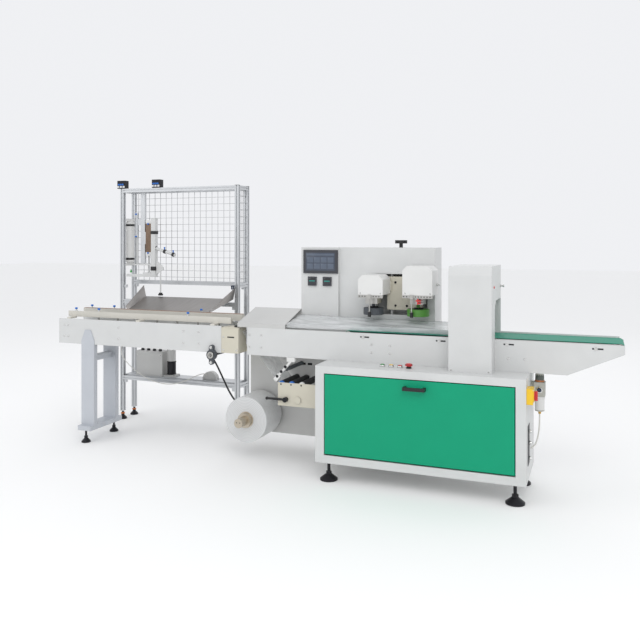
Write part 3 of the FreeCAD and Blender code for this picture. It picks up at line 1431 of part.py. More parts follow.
    boxes = [
        box(f"valve_box_{index}", (f"{x} - valve_box_length / 2", "guard_front - valve_box_depth / 2",
                                   "guard_height"),
            ("valve_box_length", "valve_box_depth", "valve_box_height"))
        for index, x in enumerate(("guard_left", "second_valve_x"))
    ]
    node("valve_boxes", joined("valve_pair", *boxes))


SWITCH_CENTRE = (f"({BASE_FRONT} + switch_from_front + switch_box_depth / 2)",
                 f"({LEDGE} - switch_below_top - switch_box_height / 2)")


def main_switch():
    """The switch box on the right-hand side of the base and its rotary knob."""
    y, z = SWITCH_CENTRE
    body = box("switch_body", (BASE_RIGHT, f"{y} - switch_box_depth / 2", f"{z} - switch_box_height / 2"),
               ("switch_box_length", "switch_box_depth", "switch_box_height"))
    bore = rod("switch_bore", (f"{BASE_RIGHT} - 1", y, z), "switch_pin_radius + fit_clearance",
               "switch_box_length + 2", "X")
    node("switch_box", cut("switch_bored", body, bore))
    face = f"({BASE_RIGHT} + switch_box_length + running_gap)"
    knob = rod("switch_disc", (face, y, z), "switch_knob_radius", "switch_knob_length / 3", "X")
    grip = box("switch_grip", (face, f"{y} - switch_knob_radius / 4", f"{z} - switch_knob_radius"),
               ("switch_knob_length", "switch_knob_radius / 2", "2 * switch_knob_radius"))
    pin = rod("switch_pin", (f"{face} - switch_pin_length", y, z), "switch_pin_radius",
              "switch_pin_length + switch_knob_length / 3", "X")
    node("switch_knob", joined("switch_turn", knob, grip, pin))


def air_filter():
    """The filter regulator beside the base, on a short arm."""
    half = "(filter_body_size / 2)"
    body = box("filter_body", (f"filter_x - {half}", f"filter_y - {half}", "filter_body_rise"),
               ("filter_body_size", "filter_body_size", "filter_body_height"))
    top = "(filter_body_rise + filter_body_height)"
    knob = rod("filter_knob", ("filter_x", "filter_y", top), "filter_knob_radius", "filter_knob_height")
    bowl = rod("filter_bowl", ("filter_x", "filter_y", "filter_body_rise - bowl_height"), "bowl_radius",
               "bowl_height")
    fitting = rod("filter_fitting", ("filter_x", "filter_y",
                                     "filter_body_rise - bowl_height - bowl_fitting_height"),
                  "bowl_fitting_radius", "bowl_fitting_height")
    arm = box("filter_arm", (BASE_RIGHT, f"filter_y - {half} / 2", f"{top} - filter_arm_height"),
              (f"filter_x - {half} - {BASE_RIGHT} + 1", half, "filter_arm_height"))
    node("air_filter", joined("filter_solid", body, knob, bowl, fitting, arm))


CORDS = {
    # name: (diameter, points of its route)
    "infeed_power_cable": (12, [
        (-1292, 403, 540), (-1240, 390, 566), (-1150, 360, 590), (-1020, 300, 596), (-900, 200, 584),
        (-810, 150, 520), (-735, 118, 425), (-665, 92, 325), (-590, 74, 250), (-520, 66, 214), (-450, 64, 206),
    ]),
    "air_hose": (6, [
        (-1710, 317, 560), (-1706, 299, 520), (-1682, 293, 470), (-1632, 291, 424), (-1570, 290, 382),
        (-1503, 289, 345), (-1430, 288, 318), (-1352, 288, 301), (-1272, 289, 297), (-1194, 291, 310),
        (-1122, 296, 338), (-1062, 308, 368), (-1022, 335, 384), (-1010, 365, 378), (-1008, 383, 366),
    ]),
    "drain_hose": (8, [
        (1370, -190, 424), (1370, -191, 376), (1366, -194, 322), (1356, -198, 276), (1345, -200, 252),
        (1325, -200, 236),
    ]),
}


def cord_path(points):
    """Straight runs joined by arcs tangent to both, each as large as the shorter of its runs allows."""
    corners = [FreeCAD.Vector(*point) for point in points]
    edges = []
    radii = []
    start = corners[0]
    for before, corner, after in zip(corners, corners[1:], corners[2:]):
        back = (before - corner).normalize()
        ahead = (after - corner).normalize()
        half_turn = (math.pi - back.getAngle(ahead)) / 2
        reach = 0.45 * min((before - corner).Length, (after - corner).Length)
        radius = reach / math.tan(half_turn)
        middle_way = (back + ahead).normalize()
        middle = corner + middle_way * (radius / math.cos(half_turn) - radius)
        first, last = corner + back * reach, corner + ahead * reach
        edges.append(Part.LineSegment(start, first).toShape())
        edges.append(Part.Arc(first, middle, last).toShape())
        radii.append(radius)
        start = last
    edges.append(Part.LineSegment(start, corners[-1]).toShape())
    return Part.Wire(edges), radii


def cords():
    """The cable and hoses, each a round tube along its route."""
    for name, (diameter, points) in CORDS.items():
        path, radii = cord_path(points)
        first = path.Edges[0]
        ring = Part.Wire([Part.Circle(first.Vertexes[0].Point, first.tangentAt(0), diameter / 2).toShape()])
        tube = path.makePipeShell([ring], True, True)
        made = doc.addObject("Part::Feature", name)
        made.Shape = tube
        expected = math.pi * diameter ** 2 / 4 * path.Length
        print(name, "length", round(path.Length), "tightest radius", round(min(radii)),
              "volume ratio", round(tube.Volume / expected, 4))
        node(name, made)


def build():
    """Make every sub-part."""
    base_cabinet()
    base_door()
    machine_feet()
    push_buttons()
    rear_wall()
    control_cabinet()
    head_carriage()
    height_knob()
    head("a", "wheel_a_x", "lever_a_x")
    head("b", "wheel_b_x", "lever_b_x")
    lanes()
    end_sealer()
    roller_unit()
    film_sensor()
    film_reel()
    forming_table()
    film()
    infeed_lane()
    transfer_box()
    guard_frame()
    shelf_units()
    product_tray()
    feeder()
    main_switch()
    air_filter()
    cords()


build()
doc.recompute()
for thing in doc.Objects:
    if {"Invalid", "Error"} & set(thing.State):
        raise RuntimeError(f"{thing.Label} failed: {thing.State}")
for made in NODES:
    if made.Shape.isNull() or not made.Shape.isValid():
        raise RuntimeError(f"{made.Label} has no valid shape")
    made.Shape.exportStep(f"parts/{made.Label}.step")
whole = Part.makeCompound([made.Shape for made in NODES]).BoundBox
print(len(NODES), "nodes", "X", round(whole.XMin, 1), round(whole.XMax, 1), "Y", round(whole.YMin, 1),
      round(whole.YMax, 1), "Z", round(whole.ZMin, 1), round(whole.ZMax, 1))
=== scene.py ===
"""Looks of a horizontal flow wrapper with a lug-chain infeed and a feeder frame.

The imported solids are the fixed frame. This script dresses them in procedural finishes, and adds the
fasteners, fittings, film and hoses that the solids leave out. Sizes in the classes are in millimetres.
"""

import json
import logging
import math
from dataclasses import dataclass
from enum import Enum

import bmesh
import bpy
from mathutils import Matrix, Vector

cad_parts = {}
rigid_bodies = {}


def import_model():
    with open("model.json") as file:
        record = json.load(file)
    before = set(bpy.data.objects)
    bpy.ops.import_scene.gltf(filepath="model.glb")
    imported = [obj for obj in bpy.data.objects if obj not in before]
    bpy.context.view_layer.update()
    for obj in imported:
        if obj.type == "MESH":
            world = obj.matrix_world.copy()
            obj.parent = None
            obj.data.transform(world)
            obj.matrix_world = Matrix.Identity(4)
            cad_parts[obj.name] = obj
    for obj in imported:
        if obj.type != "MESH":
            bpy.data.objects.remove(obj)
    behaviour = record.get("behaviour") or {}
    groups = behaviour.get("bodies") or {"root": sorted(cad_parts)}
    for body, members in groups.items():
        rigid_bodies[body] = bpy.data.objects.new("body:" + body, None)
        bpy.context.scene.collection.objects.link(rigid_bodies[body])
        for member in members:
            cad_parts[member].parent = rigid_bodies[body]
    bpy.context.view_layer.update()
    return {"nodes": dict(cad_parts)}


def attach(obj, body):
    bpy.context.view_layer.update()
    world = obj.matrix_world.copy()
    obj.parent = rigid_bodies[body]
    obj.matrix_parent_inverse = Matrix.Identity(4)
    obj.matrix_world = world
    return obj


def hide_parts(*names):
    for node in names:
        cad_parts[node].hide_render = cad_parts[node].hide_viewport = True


LOG = logging.getLogger("flow_wrapper")
MM = 0.001
# A wave texture of scale 1 repeats after this share of its unit.
WAVE_LENGTH = 0.31
# Edges that turn by more than this stay crisp.
CREASE_DEGREES = 35.0

for leftover in list(bpy.data.objects):
    bpy.data.objects.remove(leftover)
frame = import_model()

Point = tuple[float, float, float]
Tree = bpy.types.NodeTree
Socket = bpy.types.NodeSocket
# (radius, distance along the axis) from one end of a turned shape to the other.
Outline = list[tuple[float, float]]


class Axis(Enum):
    """A direction that a turned or drawn shape runs along."""

    X = 0
    Y = 1
    Z = 2


class Body(Enum):
    """The moving groups that new pieces ride on."""

    ROOT = "root"
    CARRIAGE = "head_carriage"
    KNOB = "height_knob"
    REEL = "film_reel"
    LEVER = "tension_lever"
    PICKER = "pick_head"
    IDLER_1 = "idler_roller_1"
    IDLER_2 = "idler_roller_2"
    IDLER_3 = "idler_roller_3"
    WHEEL_A = "seal_wheel_a"
    WHEEL_B = "seal_wheel_b"


# ---------------------------------------------------------------- finishes


def linear(colour: str) -> tuple[float, float, float, float]:
    """Turn an sRGB hex colour into the linear values that shaders take.

    Args:
        colour: six hex digits after a hash sign.

    Returns:
        Linear red, green, blue and an alpha of 1.
    """
    parts = [int(colour[start : start + 2], 16) / 255 for start in (1, 3, 5)]
    red, green, blue = [p / 12.92 if p <= 0.04045 else ((p + 0.055) / 1.055) ** 2.4 for p in parts]
    return (red, green, blue, 1.0)


def shade(colour: str, factor: float) -> str:
    """Make a hex colour lighter or darker.

    Args:
        colour: the colour to change.
        factor: above 1 for lighter, below 1 for darker.

    Returns:
        The changed hex colour.
    """
    parts = [min(255, round(int(colour[start : start + 2], 16) * factor)) for start in (1, 3, 5)]
    return "#" + "".join(f"{part:02x}" for part in parts)


def add_node(
    tree: Tree, kind: str, settings: dict | None = None, links: dict | None = None
) -> bpy.types.Node:
    """Add one shader node.

    Args:
        tree: the material's node tree.
        kind: the node's type name.
        settings: values of the node's attributes, or of its input sockets.
        links: the socket that feeds each input.

    Returns:
        The new node.
    """
    node = tree.nodes.new(kind)
    for key, value in (settings or {}).items():
        if isinstance(key, str) and hasattr(node, key):
            setattr(node, key, value)
        else:
            node.inputs[key].default_value = value
    for key, source in (links or {}).items():
        tree.links.new(source, node.inputs[key])
    return node


def add_noise(
    tree: Tree, place: Socket, size_mm: float, detail: float, distortion: float = 0.0
) -> Socket:
    """Add a cloudy pattern.

    Args:
        tree: the material's node tree.
        place: where on the piece the pattern is read.
        size_mm: how wide a patch is.
        detail: how much finer structure the patches have.
        distortion: how far the patches are pulled out of shape.

    Returns:
        The pattern's socket, from 0 to 1.
    """
    settings = {"Scale": 1 / (size_mm * MM), "Detail": detail, "Distortion": distortion}
    return add_node(tree, "ShaderNodeTexNoise", settings, {"Vector": place}).outputs["Fac"]


def add_blend(
    tree: Tree, low: str, high: str, share: Socket
) -> Socket:
    """Blend two hex colours by a pattern.

    Args:
        tree: the material's node tree.
        low: the colour where the pattern is 0.
        high: the colour where the pattern is 1.
        share: the pattern.

    Returns:
        The colour socket.
    """
    first_colour, second_colour, colour_out = 6, 7, 2
    settings = {"data_type": "RGBA", first_colour: linear(low), second_colour: linear(high)}
    return add_node(tree, "ShaderNodeMix", settings, {0: share}).outputs[colour_out]


def add_range(
    tree: Tree, source: Socket, low: float, high: float, start: float = 0.0, end: float = 1.0
) -> Socket:
    """Stretch a pattern to a range of values.

    Args:
        tree: the material's node tree.
        source: the pattern.
        low: the value where the pattern is at its start.
        high: the value where the pattern is at its end.
        start: the pattern's start.
        end: the pattern's end.

    Returns:
        The stretched pattern's socket.
    """
    settings = {"From Min": start, "From Max": end, "To Min": low, "To Max": high}
    return add_node(tree, "ShaderNodeMapRange", settings, {"Value": source}).outputs["Result"]


@dataclass(frozen=True)
class Finish:
    """A real material and how its surface was made.

    Soft patches of tone and a fine grain keep a large face from looking printed.
    """

    name: str
    colour: str
    roughness: float = 0.4
    metallic: float = 0.0
    ior: float = 1.5
    coat: float = 0.0
    patch_mm: float = 140.0
    patch_depth: float = 0.03
    grain_mm: float = 3.0
    grain_depth: float = 0.08
    rounding_mm: float = 0.0
    stretch: Point = (1.0, 1.0, 1.0)

    def coordinates(self, tree: Tree) -> Socket:
        """Object coordinates, stretched along the direction that the surface was worked in."""
        place = add_node(tree, "ShaderNodeTexCoord")
        links = {"Vector": place.outputs["Object"]}
        return add_node(tree, "ShaderNodeMapping", {"Scale": self.stretch}, links).outputs["Vector"]

    def tone(self, tree: Tree, place: Socket) -> Socket:
        """The base colour, with soft patches a little lighter and darker.

        Args:
            tree: the material's node tree.
            place: where on the piece the pattern is read.

        Returns:
            The colour socket.
        """
        darker, lighter = shade(self.colour, 1 - self.patch_depth), shade(self.colour, 1 + self.patch_depth)
        return add_blend(tree, darker, lighter, add_noise(tree, place, self.patch_mm, 3.0))

    def surface(self, tree: Tree, place: Socket) -> dict:
        """Fine grain as a bump, and an uneven roughness.

        Args:
            tree: the material's node tree.
            place: where on the piece the pattern is read.

        Returns:
            The sockets that feed the shader's roughness and normal.
        """
        grain = add_noise(tree, place, self.grain_mm, 2.0)
        spread = 0.06
        uneven = add_range(tree, grain, max(0.02, self.roughness - spread), min(1.0, self.roughness + spread))
        links = {"Height": grain}
        if self.rounding_mm:
            edge = add_node(tree, "ShaderNodeBevel", {"samples": 4, "Radius": self.rounding_mm * MM})
            links["Normal"] = edge.outputs["Normal"]
        bump = add_node(tree, "ShaderNodeBump", {"Strength": self.grain_depth, "Distance": 0.3 * MM}, links)
        return {"Roughness": uneven, "Normal": bump.outputs["Normal"]}

    def shading(self, tree: Tree, place: Socket) -> tuple[dict, dict]:
        """What the shader is set to and fed with.

        Args:
            tree: the material's node tree.
            place: where on the piece the patterns are read.

        Returns:
            The values of the shader's own sockets, and the sockets that feed it.
        """
        settings = {"Metallic": self.metallic, "Coat Weight": self.coat}
        if not self.metallic:
            settings["IOR"] = self.ior
        return settings, {"Base Color": self.tone(tree, place)} | self.surface(tree, place)

    def material(self) -> bpy.types.Material:
        """Make the material, or find it if it was made before."""
        made = bpy.data.materials.get(self.name)
        if made:
            return made
        made = bpy.data.materials.new(self.name)
        made.use_nodes = True
        tree = made.node_tree
        tree.nodes.clear()
        settings, links = self.shading(tree, self.coordinates(tree))
        shader = add_node(tree, "ShaderNodeBsdfPrincipled", settings, links)
        add_node(tree, "ShaderNodeOutputMaterial", {}, {"Surface": shader.outputs["BSDF"]})
        return made


@dataclass(frozen=True)
class Woven(Finish):
    """A belt whose cover shows the square weave of the cloth under it."""

    thread_mm: float = 4.0

    def surface(self, tree: Tree, place: Socket) -> dict:
        """Crossed threads as a bump; drawn coarser than the real 1 mm threads so that they show."""
        waves = [
            add_node(
                tree,
                "ShaderNodeTexWave",
                {"bands_direction": way, "Scale": WAVE_LENGTH / (self.thread_mm * MM), "Distortion": 0.4},
                {"Vector": place},
            ).outputs["Fac"]
            for way in "XY"
        ]
        product = add_node(tree, "ShaderNodeMath", {"operation": "MULTIPLY"}, dict(enumerate(waves)))
        crossed = product.outputs["Value"]
        relief = {"Strength": self.grain_depth, "Distance": 0.4 * MM}
        bump = add_node(tree, "ShaderNodeBump", relief, {"Height": crossed})
        uneven = add_range(tree, crossed, self.roughness - 0.08, self.roughness)
        return {"Roughness": uneven, "Normal": bump.outputs["Normal"]}


@dataclass(frozen=True)
class WoundFilm(Finish):
    """A roll of thin film: its end faces show the edges of the turns as faint rings."""

    axis_x_mm: float = -356.0
    axis_z_mm: float = 251.0
    ring_mm: float = 9.0

    def tone(self, tree: Tree, place: Socket) -> Socket:
        """Milky white, ringed about the reel's axis."""
        centred = add_node(
            tree,
            "ShaderNodeMapping",
            {"Location": (-self.axis_x_mm * MM, 0.0, -self.axis_z_mm * MM)},
            {"Vector": place},
        )
        rings = add_node(
            tree,
            "ShaderNodeTexWave",
            {
                "wave_type": "RINGS",
                "rings_direction": "Y",
                "Scale": WAVE_LENGTH / (self.ring_mm * MM),
                "Distortion": 1.2,
                "Detail": 3.0,
                "Detail Scale": 2.0,
            },
            {"Vector": centred.outputs["Vector"]},
        )
        return add_blend(tree, shade(self.colour, 0.90), self.colour, rings.outputs["Fac"])

    def shading(self, tree: Tree, place: Socket) -> tuple[dict, dict]:
        """Like any finish, but light enters the wound film and comes out soft."""
        settings, links = super().shading(tree, place)
        return settings | {"Subsurface Weight": 0.15, "Subsurface Radius": (0.02, 0.02, 0.02)}, links


@dataclass(frozen=True)
class ClearFilm(Finish):
    """Thin clear film, seen mostly by its milky haze and its creases."""

    haze_low: float = 0.3
    haze_high: float = 0.68
    crease_mm: float = 90.0

    def shading(self, tree: Tree, place: Socket) -> tuple[dict, dict]:
        """See-through, with a haze that gathers in streaks along the film.

        Args:
            tree: the material's node tree.
            place: where on the piece the patterns are read.

        Returns:
            The values of the shader's own sockets, and the sockets that feed it.
        """
        creases = add_noise(tree, place, self.crease_mm, 4.0, 0.6)
        haze = add_range(tree, creases, self.haze_low, self.haze_high, 0.3, 0.72)
        bump = add_node(tree, "ShaderNodeBump", {"Strength": 0.25, "Distance": 3 * MM}, {"Height": creases})
        settings = {"IOR": self.ior, "Base Color": linear(self.colour), "Roughness": self.roughness}
        return settings, {"Alpha": haze, "Normal": bump.outputs["Normal"]}


# Sheet steel under sprayed enamel: soft gloss, faint orange peel, edges that catch a thin light.
WHITE_STEEL = Finish("sprayed_enamel_steel_white", "#cfd0cf", 0.42, coat=0.03, rounding_mm=1.5)
GREY_STEEL = Finish("sprayed_enamel_steel_light_grey", "#c3c3c1", 0.45, coat=0.02, rounding_mm=1.5)
BLUE_STEEL = Finish("sprayed_enamel_steel_blue_grey", "#bcc0c6", 0.45, coat=0.02, rounding_mm=2.0)
GREEN_STEEL = Finish(
    "sprayed_enamel_steel_green", "#009a72", 0.5, ior=1.35, patch_depth=0.02, rounding_mm=2.0
)
CREAM_STEEL = Finish("sprayed_enamel_steel_cream", "#cbc6b6", 0.48, coat=0.02, rounding_mm=1.0)
# Moulded ABS: even colour, fine spark-eroded grain.
WHITE_ABS = Finish("moulded_abs_white", "#dcdcda", 0.35, coat=0.05, grain_mm=1.5, rounding_mm=1.5)
BLACK_ABS = Finish("moulded_abs_black", "#1b1b1d", 0.45, grain_mm=1.2, grain_depth=0.15, rounding_mm=0.8)
YELLOW_ABS = Finish("moulded_abs_yellow", "#eec21c", 0.35, coat=0.2, grain_mm=1.5, rounding_mm=1.5)
RED_ABS = Finish("moulded_abs_red", "#c81e22", 0.32, coat=0.3, grain_mm=1.5, rounding_mm=1.0)
BLUE_ABS = Finish("moulded_nylon_blue", "#2b6fc4", 0.38, grain_mm=1.5)
GREEN_ABS = Finish("moulded_nylon_green", "#2f9a45", 0.38, grain_mm=1.5)
ORANGE_ABS = Finish("moulded_nylon_orange", "#c4713a", 0.45, grain_mm=1.5)
BLUE_BLACK = Finish("moulded_nylon_blue_black", "#1f2c44", 0.4, grain_mm=1.5)
BROWN_STRIP = Finish("moulded_wear_strip_brown", "#8d6f5c", 0.5, grain_mm=1.5)
# Belts: polyurethane cover on polyester cloth.
GREEN_BELT = Woven("coated_cloth_belt_green", "#1c8c72", 0.62, grain_depth=0.25, patch_depth=0.06)
# Painted shade: the same belt drawn darker, for the main belt in the shade of the heads and the film tube.
SHADED_BELT = Woven("coated_cloth_belt_green_painted_shade", "#12695a", 0.6, grain_depth=0.25, patch_depth=0.06)
URETHANE = Finish("cast_urethane_green", "#4d8736", 0.5, coat=0.0, patch_depth=0.05)
RUBBER = Finish("vulcanised_rubber_black", "#232325", 0.62, grain_mm=1.5, grain_depth=0.2)
# Metals.
BRIGHT_STEEL = Finish(
    "turned_steel_bright", "#b9b8b4", 0.3, 1.0, patch_depth=0.06, grain_mm=1.0, rounding_mm=0.6
)
WARM_STEEL = Finish(
    "turned_steel_warm", "#bdb3a3", 0.34, 1.0, patch_depth=0.08, grain_mm=1.0, rounding_mm=0.8
)
TRAY_STEEL = Finish(
    "brushed_stainless_steel", "#a19d9a", 0.36, 1.0, patch_depth=0.07, grain_mm=1.2, grain_depth=0.2,
    rounding_mm=0.8, stretch=(8.0, 1.0, 1.0),
)
CHROME = Finish(
    "polished_chromed_steel", "#d4d4d2", 0.12, 1.0, patch_depth=0.02, grain_mm=2.0, grain_depth=0.02
)
BLACK_STEEL = Finish("blackened_steel", "#26262a", 0.42, 0.6, patch_depth=0.1, grain_mm=1.0, rounding_mm=0.5)
ALUMINIUM = Finish(
    "extruded_anodised_aluminium", "#c8cacc", 0.36, 0.85, patch_depth=0.04, grain_mm=1.2, grain_depth=0.12,
    rounding_mm=1.0,
)
IVORY_ALUMINIUM = Finish("coated_aluminium_ivory", "#cfccc3", 0.42, 0.15, patch_depth=0.04, rounding_mm=1.0)
WIRE = Finish("galvanised_wire", "#b8b9ba", 0.4, 0.7, patch_mm=40.0, patch_depth=0.08)
BRASS = Finish("turned_brass", "#c8a050", 0.28, 1.0, grain_mm=1.0)
COPPER_BROWN = Finish("anodised_aluminium_brown", "#7c6858", 0.4, 0.6, patch_mm=30.0, patch_depth=0.06)
CAST_IRON = Finish(
    "painted_cast_iron", "#4a4e53", 0.55, 0.1, patch_mm=25.0, patch_depth=0.12, grain_mm=2.5, grain_depth=0.5,
    rounding_mm=1.5,
)
FILTER_CAST = Finish("painted_die_casting", "#b2b2aa", 0.4, patch_mm=20.0, patch_depth=0.06, rounding_mm=1.5)
FILTER_KNOB = Finish("moulded_nylon_grey_green", "#5d635e", 0.5, grain_mm=1.5)
# Film.
ROLL_FILM = WoundFilm("wound_polypropylene_film", "#d9dada", 0.42, coat=0.1)
THIN_FILM = ClearFilm("clear_polypropylene_film", "#f2f4f5", 0.22, stretch=(0.3, 1.0, 1.0))
# Screens.
BEZEL = Finish("moulded_abs_charcoal", "#3a3b41", 0.4, grain_mm=1.2, rounding_mm=1.5)
SCREEN_GLASS = Finish(
    "touch_screen_glass", "#414957", 0.2, coat=0.2, patch_mm=60.0, patch_depth=0.12, grain_depth=0.0
)
SCREEN_TILE = Finish(
    "touch_screen_tile", "#566070", 0.25, coat=0.2, patch_mm=30.0, patch_depth=0.05, grain_depth=0.0
)
DIAL_GLASS = Finish(
    "smoked_acrylic", "#121417", 0.1, coat=0.6, patch_mm=20.0, patch_depth=0.1, grain_depth=0.0
)
DIAL_LINE = Finish("lit_segment_teal", "#2c8f86", 0.3, patch_mm=10.0, patch_depth=0.1, grain_depth=0.0)
HOSE = Finish("extruded_polyurethane_white", "#d6d5cf", 0.38, grain_mm=1.0)
SHADOW = Finish("unlit_slot", "#17181a", 0.8, patch_mm=10.0)

NODE_FINISHES: dict[str, Finish] = {
    "base_cabinet": WHITE_STEEL,
    "base_door": GREEN_STEEL,
    "door_handle": BLACK_ABS,
    "machine_feet": BLACK_STEEL,
    "push_buttons": BLACK_ABS,
    "rear_wall": GREY_STEEL,
    "control_cabinet": WHITE_STEEL,
    "operator_panels": BEZEL,
    "carriage_plate": CREAM_STEEL,
    "height_knob": BLACK_ABS,
    "head_cover_a": WHITE_ABS,
    "head_cover_b": WHITE_ABS,
    "head_fittings_a": BRIGHT_STEEL,
    "head_fittings_b": BRIGHT_STEEL,
    "seal_wheel_a": CAST_IRON,
    "seal_wheel_b": URETHANE,
    "main_plates": WHITE_STEEL,
    "outfeed_plates": WHITE_STEEL,
    "lane_belts": GREEN_BELT,
    "belt_rollers": BRIGHT_STEEL,
    "end_sealer_housing": WHITE_STEEL,
    "end_sealer_jaws": BRIGHT_STEEL,
    "roller_bracket": CREAM_STEEL,
    "idler_roller_1": RUBBER,
    "idler_roller_2": RUBBER,
    "idler_roller_3": RUBBER,
    "tension_lever": BLACK_ABS,
    "film_sensor_bracket": WHITE_ABS,
    "film_roll": ROLL_FILM,
    "reel_shaft": WARM_STEEL,
    "wall_fittings": CAST_IRON,
    "forming_table": GREY_STEEL,
    "infeed_plates": WHITE_STEEL,
    "infeed_chain": BRIGHT_STEEL,
    "infeed_drive": CAST_IRON,
    "infeed_rails": IVORY_ALUMINIUM,
    "infeed_stand": BLUE_STEEL,
    "slim_feet": BLACK_STEEL,
    "transfer_box": CREAM_STEEL,
    "guard_posts": ALUMINIUM,
    "guard_beams": ALUMINIUM,
    "guard_mesh": WIRE,
    "shelf_units": GREY_STEEL,
    "product_tray": TRAY_STEEL,
    "air_receiver": WHITE_ABS,
    "feeder_column": ALUMINIUM,
    "pick_head": WHITE_STEEL,
    "valve_boxes": BLACK_STEEL,
    "switch_box": YELLOW_ABS,
    "switch_knob": RED_ABS,
    "air_filter": FILTER_CAST,
}


# ---------------------------------------------------------------- shapes


class Shape:
    """A mesh under construction, in millimetres, made from bmesh's own operators."""

    def __init__(self) -> None:
        """Start an empty mesh."""
        self.mesh = bmesh.new()

    def block(self, low: Point, high: Point, rounding: float = 1.0) -> "Shape":
        """Add a block with rounded edges.

        Args:
            low: its lowest corner.
            high: its highest corner.
            rounding: the radius of its edges.

        Returns:
            This shape, so that more can be added.
        """
        centre = (Vector(low) + Vector(high)) / 2
        size = Vector(high) - Vector(low)
        place = Matrix.Translation(centre) @ Matrix.Diagonal((*size, 1.0))
        corners = bmesh.ops.create_cube(self.mesh, size=1.0, matrix=place)["verts"]
        edges = list({edge for corner in corners for edge in corner.link_edges})
        bmesh.ops.bevel(
            self.mesh, geom=edges, offset=rounding, segments=2, profile=0.5, affect="EDGES", material=-1
        )
        return self

    def turned(
        self, outline: Outline, centre: Point, axis: Axis = Axis.Z, sides: int = 32, tilt: float = 0.0
    ) -> "Shape":
        """Add a lathe-turned shape by spinning an outline about an axis.

        Args:
            outline: (radius, distance along the axis) from one end to the other.
            centre: where the axis starts.
            axis: the direction of the axis.
            sides: how many steps the spin has.
            tilt: an extra turn about Y, in degrees.

        Returns:
            This shape, so that more can be added.
        """
        closed = [(0.0, outline[0][1]), *outline, (0.0, outline[-1][1])]
        verts = [self.mesh.verts.new((radius, 0.0, along)) for radius, along in closed]
        edges = [self.mesh.edges.new(pair) for pair in zip(verts, verts[1:])]
        before = set(self.mesh.verts) - set(verts)
        bmesh.ops.spin(
            self.mesh,
            geom=verts + edges,
            cent=(0, 0, 0),
            axis=(0, 0, 1),
            angle=2 * math.pi,
            steps=sides,
            use_merge=True,
        )
        fresh = [vert for vert in self.mesh.verts if vert not in before]
        bmesh.ops.remove_doubles(self.mesh, verts=fresh, dist=0.001)
        fresh = [vert for vert in self.mesh.verts if vert not in before]
        turn = {
            Axis.X: Matrix.Rotation(math.radians(90), 4, "Y"),
            Axis.Y: Matrix.Rotation(math.radians(-90), 4, "X"),
            Axis.Z: Matrix.Identity(4),
        }[axis]
        place = Matrix.Translation(centre) @ Matrix.Rotation(math.radians(tilt), 4, "Y") @ turn
        bmesh.ops.transform(self.mesh, matrix=place, verts=fresh)
        return self

    def finish(self, name: str, finish: Finish, body: Body = Body.ROOT) -> bpy.types.Object:
        """Turn the shape into a dressed piece that rides on a body.

        Args:
            name: the piece's name.
            finish: its material.
            body: what it rides on.

        Returns:
            The new object.
        """
        bmesh.ops.recalc_face_normals(self.mesh, faces=self.mesh.faces)
        bmesh.ops.scale(self.mesh, vec=(MM, MM, MM), verts=self.mesh.verts)
        for face in self.mesh.faces:
            face.smooth = True
        for edge in self.mesh.edges:
            edge.smooth = edge.calc_face_angle(0.0) < math.radians(CREASE_DEGREES)
        data = bpy.data.meshes.new(name)
        self.mesh.to_mesh(data)
        self.mesh.free()
        data.materials.append(finish.material())
        piece = bpy.data.objects.new(name, data)
        bpy.context.scene.collection.objects.link(piece)
        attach(piece, body.value)
        LOG.info("%s: %d faces on %s", name, len(data.polygons), body.value)
        return piece


def screw_outline(radius: float, height: float) -> Outline:
    """The outline of a round-headed screw with a sunk socket.

    Args:
        radius: the head's radius.
        height: how far the head stands out.

    Returns:
        (radius, height) points, from the socket's floor to the surface it sits on.
    """
    return [
        (0.4 * radius, -0.45 * height),
        (0.45 * radius, -height),
        (0.8 * radius, -0.95 * height),
        (radius, -0.6 * height),
        (radius, 0.3),
    ]


def band_outline(inner: float, outer: float, height: float) -> Outline:
    """The outline of a band or cap whose two rims are bevelled by 1 mm.

    Args:
        inner: the radius at both rims.
        outer: the radius between them.
        height: the band's height.

    Returns:
        (radius, height) points from the low rim to the high one.
    """
    return [(inner, 0.0), (outer, 1.0), (outer, height - 1.0), (inner, height)]


def fitting_outline(reach: float) -> Outline:
    """The outline of a push-in air fitting.

    Args:
        reach: how far its tube end stands out.

    Returns:
        (radius, distance) points from the tube end to the thread.
    """
    return [(5.0, -reach), (5.0, -4.0), (7.0, -3.0), (7.0, 1.0)]


def between(ends: tuple[float, float], share: float) -> float:
    """The value at a share of the way from one end to the other."""
    return ends[0] + share * (ends[1] - ends[0])


def add_screws(shape: Shape, places: list[Point], axis: Axis, radius: float, height: float) -> Shape:
    """Add a group of screws that face the low side of an axis.

    Args:
        shape: the shape to add them to.
        places: where each head meets its plate.
        axis: the direction that the heads point against.
        radius: the heads' radius.
        height: how far the heads stand out; negative for heads that face the high side.

    Returns:
        The same shape.
    """
    for place in places:
        shape.turned(screw_outline(radius, height), place, axis, 16)
    return shape


# ---------------------------------------------------------------- sub-assemblies


